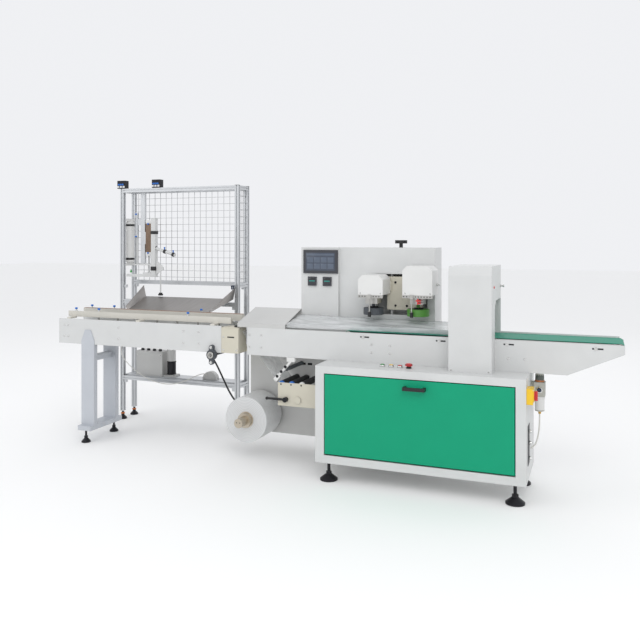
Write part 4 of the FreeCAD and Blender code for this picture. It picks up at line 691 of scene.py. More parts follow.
@dataclass
class LaneFasteners:
    """Screws and belt-tension slots on the side plates of the infeed, the main lane and the discharge."""

    plate_y: float = -268.0
    head_radius: float = 6.0
    head_height: float = 3.5
    rows_z: tuple[float, float] = (775.0, 700.0)
    infeed_x: tuple[float, ...] = (-1745.0, -1712.0, -1300.0, -800.0, -690.0)
    main_x: tuple[float, ...] = (-330.0, -250.0)
    main_group_x: tuple[float, float] = (450.0, 560.0)
    main_group_z: tuple[float, float] = (756.0, 711.0)
    outfeed_x: tuple[float, float] = (1215.0, 1300.0)
    outfeed_z: float = 722.0
    slot_x: tuple[float, ...] = (410.0, 851.0, 1217.0, 1661.0)
    slot_z: float = 797.0
    slot_half_length: float = 27.0
    slot_half_height: float = 4.0
    washer_radius: float = 9.0
    bolt_radius: float = 6.5
    bolt_height: float = 5.0

    def build(self) -> None:
        """Make the screws and the slots."""
        pairs = [(x, z) for x in (*self.infeed_x, *self.main_x) for z in self.rows_z]
        pairs += [(x, z) for x in self.main_group_x for z in self.main_group_z]
        pairs += [(x, self.outfeed_z) for x in self.outfeed_x]
        screws = add_screws(
            Shape(), [(x, self.plate_y, z) for x, z in pairs], Axis.Y, self.head_radius, self.head_height
        )
        screws.finish("lane_plate_screws", CHROME)
        slots = Shape()
        bolts = Shape()
        for x in self.slot_x:
            slots.block(
                (x - self.slot_half_length, self.plate_y - 0.5, self.slot_z - self.slot_half_height),
                (x + self.slot_half_length, self.plate_y + 0.5, self.slot_z + self.slot_half_height),
                0.4,
            )
            bolt_x = x - self.slot_half_length / 3
            washer = [(self.washer_radius, -1.6), (self.washer_radius, 0.0)]
            bolts.turned(washer, (bolt_x, self.plate_y - 0.5, self.slot_z), Axis.Y, 24)
            place = (bolt_x, self.plate_y - 2, self.slot_z)
            add_screws(bolts, [place], Axis.Y, self.bolt_radius, self.bolt_height)
        slots.finish("belt_tension_slots", SHADOW)
        bolts.finish("belt_tension_bolts", CHROME)


@dataclass
class LaneBelts:
    """What shows on and beside the belts: a painted shade sheet on the main belt, which lies in the shade of
    the heads and the film tube, and the pale edge strips.
    """

    main_ends_x: tuple[float, float] = (309.0, 915.0)
    outfeed_ends_x: tuple[float, float] = (1146.0, 1770.0)
    front_y: float = -255.0
    back_y: float = -27.0
    top_z: float = 828.0
    strip_height: float = 9.0

    def build(self) -> None:
        """Make the main belt's painted shade sheet and the strips."""
        left, right = self.main_ends_x
        # Painted shade: a thin sheet of the darker belt finish laid over the main belt under the heads.
        low, high = (left, self.front_y, self.top_z - 0.4), (right, self.back_y, self.top_z + 0.25)
        Shape().block(low, high, 0.15).finish("main_belt_painted_shade", SHADED_BELT)
        left, right = self.outfeed_ends_x
        low = (left, self.back_y + 2, self.top_z - 6)
        high = (right, self.back_y + 7, self.top_z + self.strip_height)
        Shape().block(low, high, 0.8).finish("outfeed_back_strip", WHITE_STEEL)
        low, high = (left, self.front_y - 11, self.top_z - 9), (right, self.front_y - 3, self.top_z - 5)
        Shape().block(low, high, 0.8).finish("outfeed_front_strip", GREY_STEEL)


@dataclass
class BaseDetails:
    """Small things on the base: the buttons' caps and bezels, and the cable glands at its right end."""

    button_x: tuple[float, float, float] = (545.0, 595.0, 645.0)
    stop_x: float = 695.0
    button_y: float = -365.0
    ledge_z: float = 652.0
    button_height: float = 12.0
    right_x: float = 1325.0
    gland_y: float = -330.0
    gland_z: tuple[float, ...] = (360.0, 300.0, 220.0)
    gland_plate_y: tuple[float, float] = (-380.0, -290.0)
    gland_plate_z: tuple[float, float] = (190.0, 395.0)
    caps: tuple[Finish, ...] = (GREEN_ABS, YELLOW_ABS, RED_ABS)

    def build(self) -> None:
        """Make the small things."""
        rings = Shape()
        cap_outline = [(11.0, -2.0), (11.0, 1.5), (9.5, 2.5), (4.0, 2.9)]
        bezel_outline = [(15.4, -11.9), (15.8, -9.0), (15.2, -1.5), (13.5, 0.6), (11.2, 0.6)]
        for index, (x, cap) in enumerate(zip(self.button_x, self.caps)):
            top = (x, self.button_y, self.ledge_z + self.button_height)
            Shape().turned(cap_outline, top).finish(f"button_cap_{index + 1}", cap)
            rings.turned(bezel_outline, top)
        rings.finish("button_bezels", CHROME)
        Shape().turned(
            [(20.3, -12.5), (20.5, -8.0), (19.0, -3.0), (14.0, 0.2), (6.0, 1.2)],
            (self.stop_x, self.button_y, self.ledge_z + 26),
            Axis.Z,
            48,
        ).finish("stop_button_cap", RED_ABS)
        side = Shape()
        for z in self.gland_z:
            place = (self.right_x, self.gland_y, z)
            side.turned([(11.0, 9.0), (11.0, 1.0), (14.0, 0.5), (14.0, -0.5)], place, Axis.X, 6)
            side.turned([(6.0, 16.0), (7.0, 12.0), (7.0, 8.0)], place, Axis.X, 24)
        side.finish("side_cable_glands", CHROME)
        low = (self.right_x - 0.5, self.gland_plate_y[0], self.gland_plate_z[0])
        high = (self.right_x + 2.5, self.gland_plate_y[1], self.gland_plate_z[1])
        Shape().block(low, high, 0.8).finish("side_gland_plate", BLACK_STEEL)


@dataclass
class ControlColumn:
    """The touch screen's picture, the temperature controllers' faces and the height knob's trim."""

    screen_x: tuple[float, float] = (-66.5, 161.5)
    screen_z: tuple[float, float] = (1148.0, 1294.0)
    screen_face_y: float = -41.0
    margin: float = 17.0
    controller_x: tuple[float, float] = (-37.0, 63.0)
    controller_z: tuple[float, float] = (1070.0, 1126.0)
    controller_size: float = 56.0
    controller_face_y: float = -39.0
    tile_columns: int = 4
    tile_rows: int = 2
    knob: Point = (549.0, 22.0, 1310.0)
    knob_rise: float = 36.0

    def build(self) -> None:
        """Make the glass, a plain generic picture on it, the controllers' windows and the knob's trim."""
        left, right = (self.screen_x[0] + self.margin, self.screen_x[1] - self.margin)
        low, high = (self.screen_z[0] + self.margin, self.screen_z[1] - self.margin)
        y = self.screen_face_y
        glass = Shape().block((left, y - 0.8, low), (right, y + 1, high), 0.3)
        glass.finish("touch_screen_glass", SCREEN_GLASS)
        tiles = Shape().block((left + 6, y - 1.1, high - 18), (right - 6, y - 0.5, high - 7), 0.2)
        step_x = (right - left - 12) / self.tile_columns
        step_z = (high - low - 34) / self.tile_rows
        for column in range(self.tile_columns):
            for row in range(self.tile_rows):
                x, z = left + 6 + column * step_x, low + 8 + row * step_z
                tiles.block((x + 3, y - 1.1, z + 3), (x + step_x - 3, y - 0.5, z + step_z - 3), 0.2)
        tiles.finish("touch_screen_tiles", SCREEN_TILE)
        windows, lines, keys = Shape(), Shape(), Shape()
        y = self.controller_face_y
        for x in self.controller_x:
            far = x + self.controller_size
            low, high = self.controller_z
            windows.block((x + 6, y - 0.7, low + 24), (far - 6, y + 0.5, high - 6), 0.3)
            lines.block((x + 9, y - 0.9, low + 27), (far - 9, y - 0.3, low + 33), 0.2)
            for step in range(4):
                key_x = x + 8 + step * 10.5
                keys.block((key_x, y - 1.2, low + 8), (key_x + 8, y + 0.5, low + 16), 0.5)
        windows.finish("controller_windows", DIAL_GLASS)
        lines.finish("controller_lines", DIAL_LINE)
        keys.finish("controller_keys", BEZEL)
        x, y, z = self.knob
        cap = Shape().turned([(17, -2), (19, 0), (19, 6), (16, 8), (6, 9)], (x, y, z + self.knob_rise))
        cap.finish("height_knob_cap", BLACK_ABS, Body.KNOB)
        sleeve = Shape().turned([(9.5, 0), (9.5, 26), (8.0, 27)], self.knob)
        sleeve.finish("height_knob_sleeve", CHROME, Body.KNOB)


@dataclass
class SealHead:
    """One sealing head's trim: the drilled strip, the lever rod's grip, and its cover screws."""

    letter: str
    left: float
    right: float
    front_y: float
    cover_low: float
    cover_high: float
    lever_x: float
    hole_pitch: float = 17.0
    hole_radius: float = 3.4
    lever_half_width: float = 11.0

    def build(self) -> None:
        """Make the trim on the carriage."""
        holes = Shape()
        strip_z = self.cover_low - 9
        count = int((self.right - self.left - 16) / self.hole_pitch)
        for step in range(count + 1):
            x = self.left + 9 + step * self.hole_pitch
            if abs(x - self.lever_x) > self.lever_half_width - 1:
                outline = [(self.hole_radius, -0.5), (self.hole_radius, 0.4)]
                holes.turned(outline, (x, self.front_y, strip_z), Axis.Y, 20)
        holes.finish(f"head_{self.letter}_strip_holes", SHADOW, Body.CARRIAGE)
        lever_y = self.front_y + 2.5
        top = self.cover_low - 18
        grip = [(6.0, -112.8), (9.0, -111.0), (10.2, -106.0), (9.4, -92.0), (10.0, -82.0), (6.0, -79.0)]
        Shape().turned(grip, (self.lever_x, lever_y, top)).finish(
            f"head_{self.letter}_lever_grip", BLACK_ABS, Body.CARRIAGE
        )
        low = (self.lever_x - self.lever_half_width, self.front_y - 7, top - 4)
        high = (self.lever_x + self.lever_half_width, self.front_y, top + 20)
        Shape().block(low, high, 1.5).finish(f"head_{self.letter}_lever_block", BRIGHT_STEEL, Body.CARRIAGE)
        screws = [(x, self.front_y, self.cover_low + 10) for x in (self.left + 14, self.right - 14)]
        cover_screws = add_screws(Shape(), screws, Axis.Y, 4.5, 2.5)
        cover_screws.finish(f"head_{self.letter}_cover_screws", CHROME, Body.CARRIAGE)


@dataclass
class HeadCarriage:
    """Both heads' trim and the screws and fittings of the carriage plate."""

    plate_y: float = -6.0
    heads: tuple[SealHead, ...] = (
        SealHead("a", 342.0, 493.0, -184.0, 1034.0, 1150.0, 412.0),
        SealHead("b", 608.0, 784.0, -175.0, 1038.0, 1206.0, 662.0),
    )
    screws_x: tuple[float, float] = (522.0, 592.0)
    screws_z: tuple[float, float] = (960.0, 1100.0)
    fitting: Point = (784.0, -70.0, 1096.0)
    wheels: tuple[tuple[Body, float], ...] = ((Body.WHEEL_A, 411.0), (Body.WHEEL_B, 683.0))
    wheels_y: float = -95.0
    wheels_top: float = 952.0

    def build(self) -> None:
        """Make the heads' trim, the black screws, the red clip, the air fitting and the wheels' hubs."""
        for head in self.heads:
            head.build()
        places = [(x, self.plate_y, z) for x in self.screws_x for z in self.screws_z]
        add_screws(Shape(), places, Axis.Y, 7.0, 5.0).finish("carriage_screws", BLACK_STEEL, Body.CARRIAGE)
        clip = Shape().block((694, -172, 985), (702, -160, 1030), 1.2)
        clip.block((702, -176, 988), (716, -158, 996), 1.5).block((686, -174, 1002), (716, -160, 1010), 1.5)
        clip.finish("head_b_red_clip", RED_ABS, Body.CARRIAGE)
        outline = [(6, 0), (6, 5), (9, 5), (9, 12), (5, 14), (5, 22)]
        fitting = Shape().turned(outline, self.fitting, Axis.X, 24)
        fitting.finish("head_b_air_fitting", CHROME, Body.CARRIAGE)
        for body, x in self.wheels:
            place = (x, self.wheels_y, self.wheels_top)
            hub = Shape().turned([(30, 0.2), (30, 5), (24, 8), (14, 9)], place, Axis.Z, 40)
            hub.finish(f"{body.value}_hub", BLACK_STEEL, body)


@dataclass
class EndSealer:
    """The sealer's corner screws, its lamp and knob, and the teeth of its jaws."""

    front_y: float = -385.0
    left_x: float = 916.0
    right_x: float = 1144.0
    base_z: float = 652.0
    lamp_y: float = -300.0
    lamp_z: float = 1102.0
    knob_y: float = -36.0
    teeth_x: tuple[float, float] = (1006.0, 1054.0)
    teeth_y: float = -250.0
    teeth_rows: tuple[tuple[float, float], ...] = ((915.0, 925.5), (834.5, 845.0))
    tooth_pitch: float = 22.0
    tooth_width: float = 12.0
    teeth: int = 11

    def build(self) -> None:
        """Make the sealer's small parts."""
        corners = [(x, self.front_y, self.base_z + 10) for x in (self.left_x + 14, self.right_x - 16)]
        add_screws(Shape(), corners, Axis.Y, 5.0, 2.5).finish("sealer_corner_screws", CHROME)
        lamp = [(7, -0.5), (7, 2), (5, 4), (2, 4.6)]
        place = (self.right_x, self.lamp_y, self.lamp_z)
        Shape().turned(lamp, place, Axis.X, 24).finish("sealer_lamp", RED_ABS)
        knob = [(8, -0.5), (8, 4), (5, 6), (5, 14), (8, 16), (8, 22)]
        place = (self.right_x, self.knob_y, self.lamp_z - 6)
        Shape().turned(knob, place, Axis.X, 24).finish("sealer_side_knob", CHROME)
        jaws = Shape()
        left, right = self.teeth_x
        for step in range(self.teeth):
            y = self.teeth_y + step * self.tooth_pitch
            for low, high in self.teeth_rows:
                jaws.block((left, y, low), (right, y + self.tooth_width, high), 1.0)
        jaws.finish("sealer_jaw_teeth", WARM_STEEL)


@dataclass
class FilmReel:
    """The reel's end details, the rollers' end rings, the tension lever's ball and the brackets' trim."""

    reel_x: float = -356.0
    reel_z: float = 251.0
    end_y: float = -366.0
    roll_y: float = -264.0
    idlers_x: tuple[float, float, float] = (-120.0, -54.0, 12.0)
    idler_z: float = 487.0
    idler_front_y: float = -255.0
    boss: Point = (-10.0, -264.0, 398.0)
    hub: Point = (-86.0, -288.0, 398.0)
    ball: Point = (-217.0, -276.0, 398.0)
    sensor_bar_top: Point = (-52.0, -275.0, 633.0)
    sensor_bar_angle: float = 48.0
    slots_x: tuple[float, float] = (-92.0, -48.0)
    rings: tuple[tuple[Body, Finish], ...] = (
        (Body.IDLER_1, BLUE_ABS), (Body.IDLER_2, BLUE_ABS), (Body.IDLER_3, WHITE_ABS),
    )

    def build(self) -> None:
        """Make the details, each on the body it turns with."""
        holes = Shape()
        for offset in (-11.0, 11.0):
            place = (self.reel_x + offset, self.end_y, self.reel_z + 4)
            holes.turned([(3.2, -0.4), (3.2, 0.5)], place, Axis.Y, 20)
        holes.finish("reel_end_holes", SHADOW, Body.REEL)
        place = (self.reel_x, self.roll_y, self.reel_z)
        core = Shape().turned([(46, -1.2), (50, -0.6), (50, 0.4)], place, Axis.Y, 56)
        core.finish("roll_core_end", WARM_STEEL, Body.REEL)
        end_ring = [(8, -3.5), (16, -3.5), (18.6, -2), (19.2, 2), (19.2, 9)]
        for x, (body, ring) in zip(self.idlers_x, self.rings):
            place = (x, self.idler_front_y, self.idler_z)
            Shape().turned(end_ring, place, Axis.Y, 40).finish(f"{body.value}_end_ring", ring, body)
        boss = [(11, -3), (12, -6), (19, -6), (21.5, -3.5), (21.5, 0.4)]
        Shape().turned(boss, self.boss, Axis.Y, 40).finish("bracket_boss_ring", BRIGHT_STEEL)
        Shape().turned([(9, -4), (9, 0)], self.boss, Axis.Y, 6).finish("bracket_boss_socket", BLACK_STEEL)
        cap = Shape().turned([(4, -2.5), (9, -2.2), (13, -1), (15.2, 1), (15.2, 6)], self.hub, Axis.Y)
        cap.finish("tension_lever_cap", BLACK_STEEL, Body.LEVER)
        ball = Shape().turned([(3, 0), (8, 3), (10, 9), (8, 15), (3, 18)], self.ball, Axis.X)
        ball.finish("tension_lever_ball", BLACK_ABS, Body.LEVER)
        bars = Shape()
        top_x, y, top_z = self.sensor_bar_top
        angle = math.radians(self.sensor_bar_angle)
        for along in (52, 92, 132):
            place = (top_x - along * math.cos(angle), y, top_z - along * math.sin(angle))
            bars.turned([(9, -1.2), (9, 0.6)], place, Axis.Y, 24)
        bars.finish("sensor_bracket_pivots", BLACK_STEEL)
        slots = Shape()
        for x in self.slots_x:
            slots.block((x, -14.6, 566.0), (x + 30, -13.6, 580.0), 0.4)
        slots.finish("rear_wall_slots", SHADOW)


@dataclass
class FilmPath:
    """The clear film: the web up to the forming table, and the tube that runs through the heads."""

    web_low: Point = (-135.4, -141.0, 474.5)
    web_high: Point = (-392.2, -141.0, 791.6)
    web_width: float = 210.0
    tube_x: tuple[float, float, float] = (-87.0, 560.0, 996.0)
    tube_front_y: tuple[float, float, float] = (-256.0, -230.0, -230.0)
    tube_back_y: tuple[float, float, float] = (-38.0, -52.0, -52.0)
    tube_front_z: tuple[float, float, float] = (852.0, 855.0, 855.0)
    tube_back_z: tuple[float, float, float] = (891.0, 882.0, 882.0)
    belt_z: float = 828.9
    steps: int = 72
    folds: int = 24
    ripple: float = 1.2

    def web(self) -> None:
        """A stretched sheet between the last idler and the table."""
        low, high = Vector(self.web_low), Vector(self.web_high)
        half = Vector((0, self.web_width / 2, 0))
        sheet = bmesh.new()
        bmesh.ops.create_grid(sheet, x_segments=36, y_segments=20, size=0.5)
        normal = (high - low).cross(half).normalized()
        for vert in sheet.verts:
            along, across = vert.co.x + 0.5, vert.co.y
            wave = math.sin(across * 19 + 2 * along) * math.sin(math.pi * along)
            spot = low.lerp(high, along) + 2 * across * half + normal * self.ripple * 0.3 * wave
            vert.co = spot * MM
        piece = self.sheet_piece(sheet, "film_web_sheet", "film_web")

    def section(self, share: float) -> list[Vector]:
        """The film's open cross-section at a share of the tube's length, folded over from the back.

        Args:
            share: 0 at the table and 1 at the sealing jaws.

        Returns:
            Points from the front lower edge, over the top, to the back lower edge.
        """
        x = self.tube_x[0] + share * (self.tube_x[2] - self.tube_x[0])
        stop = 0 if x < self.tube_x[1] else 1
        part = (x - self.tube_x[stop]) / (self.tube_x[stop + 1] - self.tube_x[stop])
        front_y, back_y, front_z, back_z = (
            between(row[stop : stop + 2], part)
            for row in (self.tube_front_y, self.tube_back_y, self.tube_front_z, self.tube_back_z)
        )
        front_share, back_share = 0.15, 0.2
        points = []
        for step in range(self.folds + 1):
            turn = step / self.folds
            if turn < front_share:
                y, z = front_y, self.belt_z + (front_z - self.belt_z) * turn / front_share
            elif turn > 1 - back_share:
                y, z = back_y, self.belt_z + (back_z - self.belt_z) * (1 - turn) / back_share
            else:
                over = (turn - front_share) / (1 - front_share - back_share)
                sag = 5 * math.sin(math.pi * over) * (0.5 + 0.5 * math.sin(x / 61))
                crease = 3 * math.sin(over * 9 + x / 83) ** 2
                y, z = between((front_y, back_y), over), between((front_z, back_z), over) - sag - crease
            lowest = self.belt_z + 0.4 if 0 < step < self.folds else self.belt_z
            points.append(Vector((x, y, max(z, lowest))))
        return points

    def tube(self) -> None:
        """A sheet folded over the products' path, resting on the belt at both edges."""
        sheet = bmesh.new()
        bmesh.ops.create_grid(sheet, x_segments=self.steps, y_segments=self.folds, size=0.5)
        rows = [self.section(step / self.steps) for step in range(self.steps + 1)]
        for vert in sheet.verts:
            along, over = round((vert.co.x + 0.5) * self.steps), round((vert.co.y + 0.5) * self.folds)
            vert.co = rows[along][over] * MM
        area = sum(face.calc_area() for face in sheet.faces)
        piece = self.sheet_piece(sheet, "film_tube_sheet", "film_tube")

    def sheet_piece(self, sheet: bmesh.types.BMesh, name: str, node: str) -> bpy.types.Object:
        """Dress a film sheet and let it stand for its solid.

        Args:
            sheet: the mesh, in metres.
            name: the piece's name.
            node: the solid that it stands for.

        Returns:
            The new object.
        """
        bmesh.ops.recalc_face_normals(sheet, faces=sheet.faces)
        for face in sheet.faces:
            face.smooth = True
        data = bpy.data.meshes.new(name)
        sheet.to_mesh(data)
        sheet.free()
        data.materials.append(THIN_FILM.material())
        piece = bpy.data.objects.new(name, data)
        bpy.context.scene.collection.objects.link(piece)
        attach(piece, Body.ROOT.value)
        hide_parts(node)
        LOG.info("%s: %d faces", name, len(data.polygons))
        return piece

    def build(self) -> None:
        """Make both stretches of film."""
        self.web()
        self.tube()


@dataclass
class InfeedDetails:
    """Rail strips and studs, the chain's links, the drive bearing's bolts and the transfer box's trim."""

    rail_x: tuple[float, float] = (-1751.0, -485.0)
    rear_rail_y: tuple[float, float] = (-64.0, -30.0)
    front_rail_y: tuple[float, float] = (-220.0, -206.0)
    rear_rail_z: float = 874.0
    front_rail_z: float = 868.0
    stud_x: tuple[float, float, float] = (-1690.0, -1500.0, -800.0)
    chain_x: tuple[float, float] = (-1720.0, -596.0)
    chain_y: tuple[float, float] = (-149.0, -133.0)
    chain_top_z: float = 802.0
    link_pitch: float = 25.4
    bearing: Point = (-587.0, -290.0, 639.0)
    bearing_bolt_pitch: float = 94.0
    box_x: tuple[float, float] = (-522.0, -403.0)
    box_front_y: float = -274.0
    box_back_y: float = -168.0
    box_top_z: float = 812.0
    cap_y: float = -225.0

    def rails(self) -> None:
        """The brown wear strip and the white slide faces on the rails, with their clamp studs."""
        left, right = self.rail_x
        low, high = self.rear_rail_y
        strip = Shape().block(
            (left + 2, low + 3, self.rear_rail_z - 0.4), (right - 2, high - 3, self.rear_rail_z + 2), 0.6
        )
        strip.finish("rear_rail_wear_strip", BROWN_STRIP)
        face_y, top = self.front_rail_y[1], self.front_rail_z
        face = Shape().block((left + 2, face_y - 0.5, top - 32), (right - 2, face_y + 1.5, top - 3), 0.6)
        face.finish("front_rail_slide_face", WHITE_ABS)
        studs, knobs = Shape(), Shape()
        rails = ((self.front_rail_y, self.front_rail_z), (self.rear_rail_y, self.rear_rail_z))
        for x in self.stud_x:
            for rail_y, z in rails:
                y = sum(rail_y) / 2
                studs.turned([(10, -0.4), (10, 3), (5, 4), (5, 13)], (x, y, z), Axis.Z, 24)
                knobs.turned([(5, 0), (9, 2), (9.5, 9), (7, 12), (3, 13)], (x, y, z + 12), Axis.Z, 24)
        studs.finish("rail_studs", CHROME)
        knobs.finish("rail_stud_knobs", BLUE_ABS)

    def chain(self) -> None:
        """Roller pins and link plates along the chain's upper run."""
        links = Shape()
        pin = [(3.4, -1.6), (3.8, -0.8), (3.8, 16.8), (3.4, 17.6)]
        left, right = self.chain_x
        top = self.chain_top_z
        for step in range(int((right - left) / self.link_pitch)):
            x = left + (step + 0.5) * self.link_pitch
            links.turned(pin, (x, self.chain_y[0], top - 6.5), Axis.Y, 10)
            for y in (self.chain_y[0] - 1.0, self.chain_y[1] - 0.4):
                links.block((x - 10, y, top - 10.5), (x + 10, y + 1.4, top - 2.5), 0.4)
        links.finish("infeed_chain_links", WARM_STEEL)

    def drive(self) -> None:
        """Bolts and the set collar of the drive bearing."""
        x, y, z = self.bearing
        bolts = Shape()
        for side in (-1, 1):
            place = (x, y, z + side * self.bearing_bolt_pitch / 2)
            bolts.turned([(10, -1.5), (10, 0.3)], place, Axis.Y, 24)
            bolts.turned([(7.5, -7.5), (8.2, -6.5), (8.2, -1.2)], place, Axis.Y, 6)
        bolts.finish("drive_bearing_bolts", CHROME)
        collar = Shape().turned([(12.5, -12), (19, -12), (21, -10), (21, 0.4)], self.bearing, Axis.Y, 40)
        collar.finish("drive_bearing_collar", BRIGHT_STEEL)

    def transfer(self) -> None:
        """The transfer box's slot, screws, top cap and lid."""
        left, right = self.box_x
        y, top = self.box_front_y, self.box_top_z
        slot = Shape().block((left + 42, y - 0.5, top - 62), (right - 30, y + 0.5, top - 54), 0.4)
        slot.finish("transfer_box_slot", SHADOW)
        places = [(left + 14, y, top - 58), (left + 14, y, top - 138), (right - 14, y, top - 138)]
        add_screws(Shape(), places, Axis.Y, 5.5, 3.0).finish("transfer_box_screws", CHROME)
        cap = [(18, -0.4), (18, 8), (15, 12), (6, 13)]
        Shape().turned(cap, (right - 34, self.cap_y, top), Axis.Z, 36).finish("transfer_box_cap", BLACK_ABS)
        low, high = (left - 1.2, y - 1.2, top - 3), (right + 1.2, self.box_back_y, top + 1.2)
        Shape().block(low, high, 0.8).finish("transfer_box_lid", CREAM_STEEL)

    def build(self) -> None:
        """Make the infeed's details."""
        self.rails()
        self.chain()
        self.drive()
        self.transfer()


@dataclass
class GuardDetails:
    """Corner joints, the posts' end caps and the coloured rings of the slim feet."""

    posts_x: tuple[float, float] = (-1710.0, -730.0)
    posts_y: tuple[float, float] = (332.0, 474.0)
    half: float = 15.0
    top_z: float = 1746.0
    shelf_beam_z: float = 300.0
    front_beam_z: float = 880.0
    mesh_beam_z: float = 1018.0
    foot_ring_z: float = 42.0

    def build(self) -> None:
        """Make the frame's small parts."""
        caps, rings, joints = Shape(), Shape(), Shape()
        h = self.half
        for x in self.posts_x:
            for y in self.posts_y:
                caps.block((x - h, y - h, self.top_z), (x + h, y + h, self.top_z + 3), 1.0)
                rings.turned([(12, -5), (14.5, -4), (14.5, 4), (12, 5)], (x, y, self.foot_ring_z))
                inward = 1 if x == self.posts_x[0] else -1
                front_beam = (self.front_beam_z,) if y == self.posts_y[0] else ()
                for z in (self.shelf_beam_z, *front_beam, self.mesh_beam_z):
                    near = x + inward * h
                    far = near + inward * 24
                    joints.block((min(near, far), y - 10, z - 22), (max(near, far), y + 10, z), 1.5)
        caps.finish("guard_post_caps", BLACK_ABS)
        rings.finish("guard_foot_rings", ORANGE_ABS)
        joints.finish("guard_corner_joints", ALUMINIUM)


@dataclass
class FeederDetails:
    """Fittings of the air receiver, cylinders, pick head, tray, valves and the units on the shelf."""

    receiver: Point = (-1698.0, 403.0, 1180.0)
    cylinder: Point = (-1620.0, 387.0, 1375.0)
    guided_x: tuple[float, float] = (-1536.0, -1490.0)
    guided_y: tuple[float, float] = (377.0, 423.0)
    guided_z: tuple[float, float] = (1238.0, 1507.0)
    guided_end: float = 26.0
    valve_boxes_x: tuple[float, float] = (-1710.0, -1400.0)
    valve_face_y: float = 309.0
    slant_start: Point = (-1437.0, 345.0, 1299.0)
    slant_angle: float = 107.0
    clamps_x: tuple[float, float] = (-1458.0, -1416.0)
    clamps_z: tuple[tuple[float, float], ...] = ((1128.0, 1158.0), (1400.0, 1424.0))
    bar_fitting: Point = (-1646.0, 345.0, 1110.0)
    pusher_foot: Point = (-1379.0, 341.0, 943.0)
    motor: Point = (-1323.0, 403.0, 335.0)
    box_x: tuple[float, float] = (-1600.0, -1370.0)
    box_y: tuple[float, float] = (348.0, 458.0)
    box_top: float = 520.0
    tray_handle: Point = (-743.0, 286.0, 1026.0)

    def air(self) -> None:
        """Bands on the receiver, cylinder end caps, push-in fittings and the valves' tops."""
        x, y, z = self.receiver
        bands = Shape()
        for rise in (24, 282):
            bands.turned(band_outline(33.2, 35, 16), (x, y, z + rise), Axis.Z, 48)
        bands.finish("receiver_bands", BLACK_ABS)
        x, y, z = self.cylinder
        caps = Shape()
        for rise in (0, 169):
            caps.turned(band_outline(12.6, 13, 21), (x, y, z + rise))
        caps.finish("cylinder_end_caps", ALUMINIUM)
        fittings = Shape()
        for height in (8, 178):
            fittings.turned(fitting_outline(12), (x, y - 12, z + height), Axis.Y, 20)
        (left, right), (front, back), (low, high) = self.guided_x, self.guided_y, self.guided_z
        for height in (20, 240):
            fittings.turned(fitting_outline(11), ((left + right) / 2, front, low + height), Axis.Y, 20)
        valves, face_y = Shape(), self.valve_face_y
        for box_x in self.valve_boxes_x:
            for step in (-1, 0, 1):
                fittings.turned(fitting_outline(11), (box_x + 18 * step, face_y, 1776.0), Axis.Y, 20)
                x = box_x - 2 + 25 * step
                valves.block((x - 9, face_y - 2, 1752.0), (x + 9, face_y + 0.5, 1766.0), 1.0)
        fittings.finish("feeder_air_fittings", BLUE_ABS)
        ends, end = Shape(), self.guided_end
        for z in (low, high - end):
            ends.block((left - 1, front - 1, z), (right + 1, back + 1, z + end), 1.5)
        ends.finish("guided_body_ends", WHITE_ABS)
        low, high = low + end, high - end
        cover = Shape().block((left - 0.6, front - 0.6, low), (right + 0.6, back + 0.6, high), 0.5)
        cover.finish("guided_body_cover", COPPER_BROWN)
        valves.finish("valve_faces", WHITE_ABS)

    def picker(self) -> None:
        """The slanted cylinder's ends and fittings, the tube's blocks and the pusher's foot."""
        ends, studs = Shape(), Shape()
        x, y, z = self.slant_start
        turn = math.radians(self.slant_angle)
        for along in (0.0, 88.0, 164.0):
            place = (x + along * math.sin(turn), y, z + along * math.cos(turn))
            ends.turned(band_outline(13, 15.5, 18), place, Axis.Z, 32, self.slant_angle)
        ends.finish("slant_cylinder_ends", BLACK_ABS, Body.PICKER)
        for along in (94.0, 172.0):
            place = (x + along * math.sin(turn), y, z + 12 + along * math.cos(turn))
            studs.turned([(4.5, 0), (4.5, 12), (6, 13), (6, 20)], place, Axis.Z, 20)
        studs.finish("slant_cylinder_fittings", BLUE_ABS, Body.PICKER)
        clamps = Shape()
        for low, high in self.clamps_z:
            clamps.block((self.clamps_x[0], y - 21, low), (self.clamps_x[1], y + 21, high), 2.0)
        clamps.finish("pick_tube_clamps", BLACK_ABS, Body.PICKER)
        fitting = Shape().turned([(8, 0), (8, 10), (5, 12), (5, 22)], self.bar_fitting, Axis.Z, 24)
        fitting.finish("pick_bar_fitting", GREEN_ABS, Body.PICKER)
        foot = Shape().turned([(17, 0), (18.5, 2), (18.5, 10), (13, 13), (13, 20)], self.pusher_foot)
        foot.finish("pusher_foot", RUBBER, Body.PICKER)

    def shelf(self) -> None:
        """The motor's windings and cap, and the connectors and screws of the box beside it."""
        windings = [(31.3, 14), (34, 16), (34, 22), (32, 24), (32, 104), (34, 106), (34, 112), (31.3, 114)]
        Shape().turned(windings, self.motor, Axis.Z, 48).finish("motor_winding_case", BLACK_STEEL)
        cap = [(31.2, 196), (32.2, 197), (32.2, 236), (29, 239.6), (12, 240.4)]
        Shape().turned(cap, self.motor, Axis.Z, 48).finish("motor_end_cap", CHROME)
        plugs = Shape()
        (left, right), (front, back), top = self.box_x, self.box_y, self.box_top
        plug = [(13, -0.3), (13, 12), (10, 14), (10, 30), (8, 32)]
        for step in range(4):
            plugs.turned(plug, (left + 36 + 52 * step, self.motor[1] - 22, top), Axis.Z, 24)
        plugs.finish("shelf_box_connectors", BLACK_ABS)
        lid = Shape().block((left - 1.5, front - 1.5, top - 16), (right + 1.5, back + 1.5, top + 1), 1.0)
        lid.finish("shelf_box_lid", GREY_STEEL)
        places = [(x, front, z) for x in (left + 12, right - 12) for z in (347.0, 494.0)]
        add_screws(Shape(), places, Axis.Y, 4.5, 2.5).finish("shelf_box_screws", CHROME)

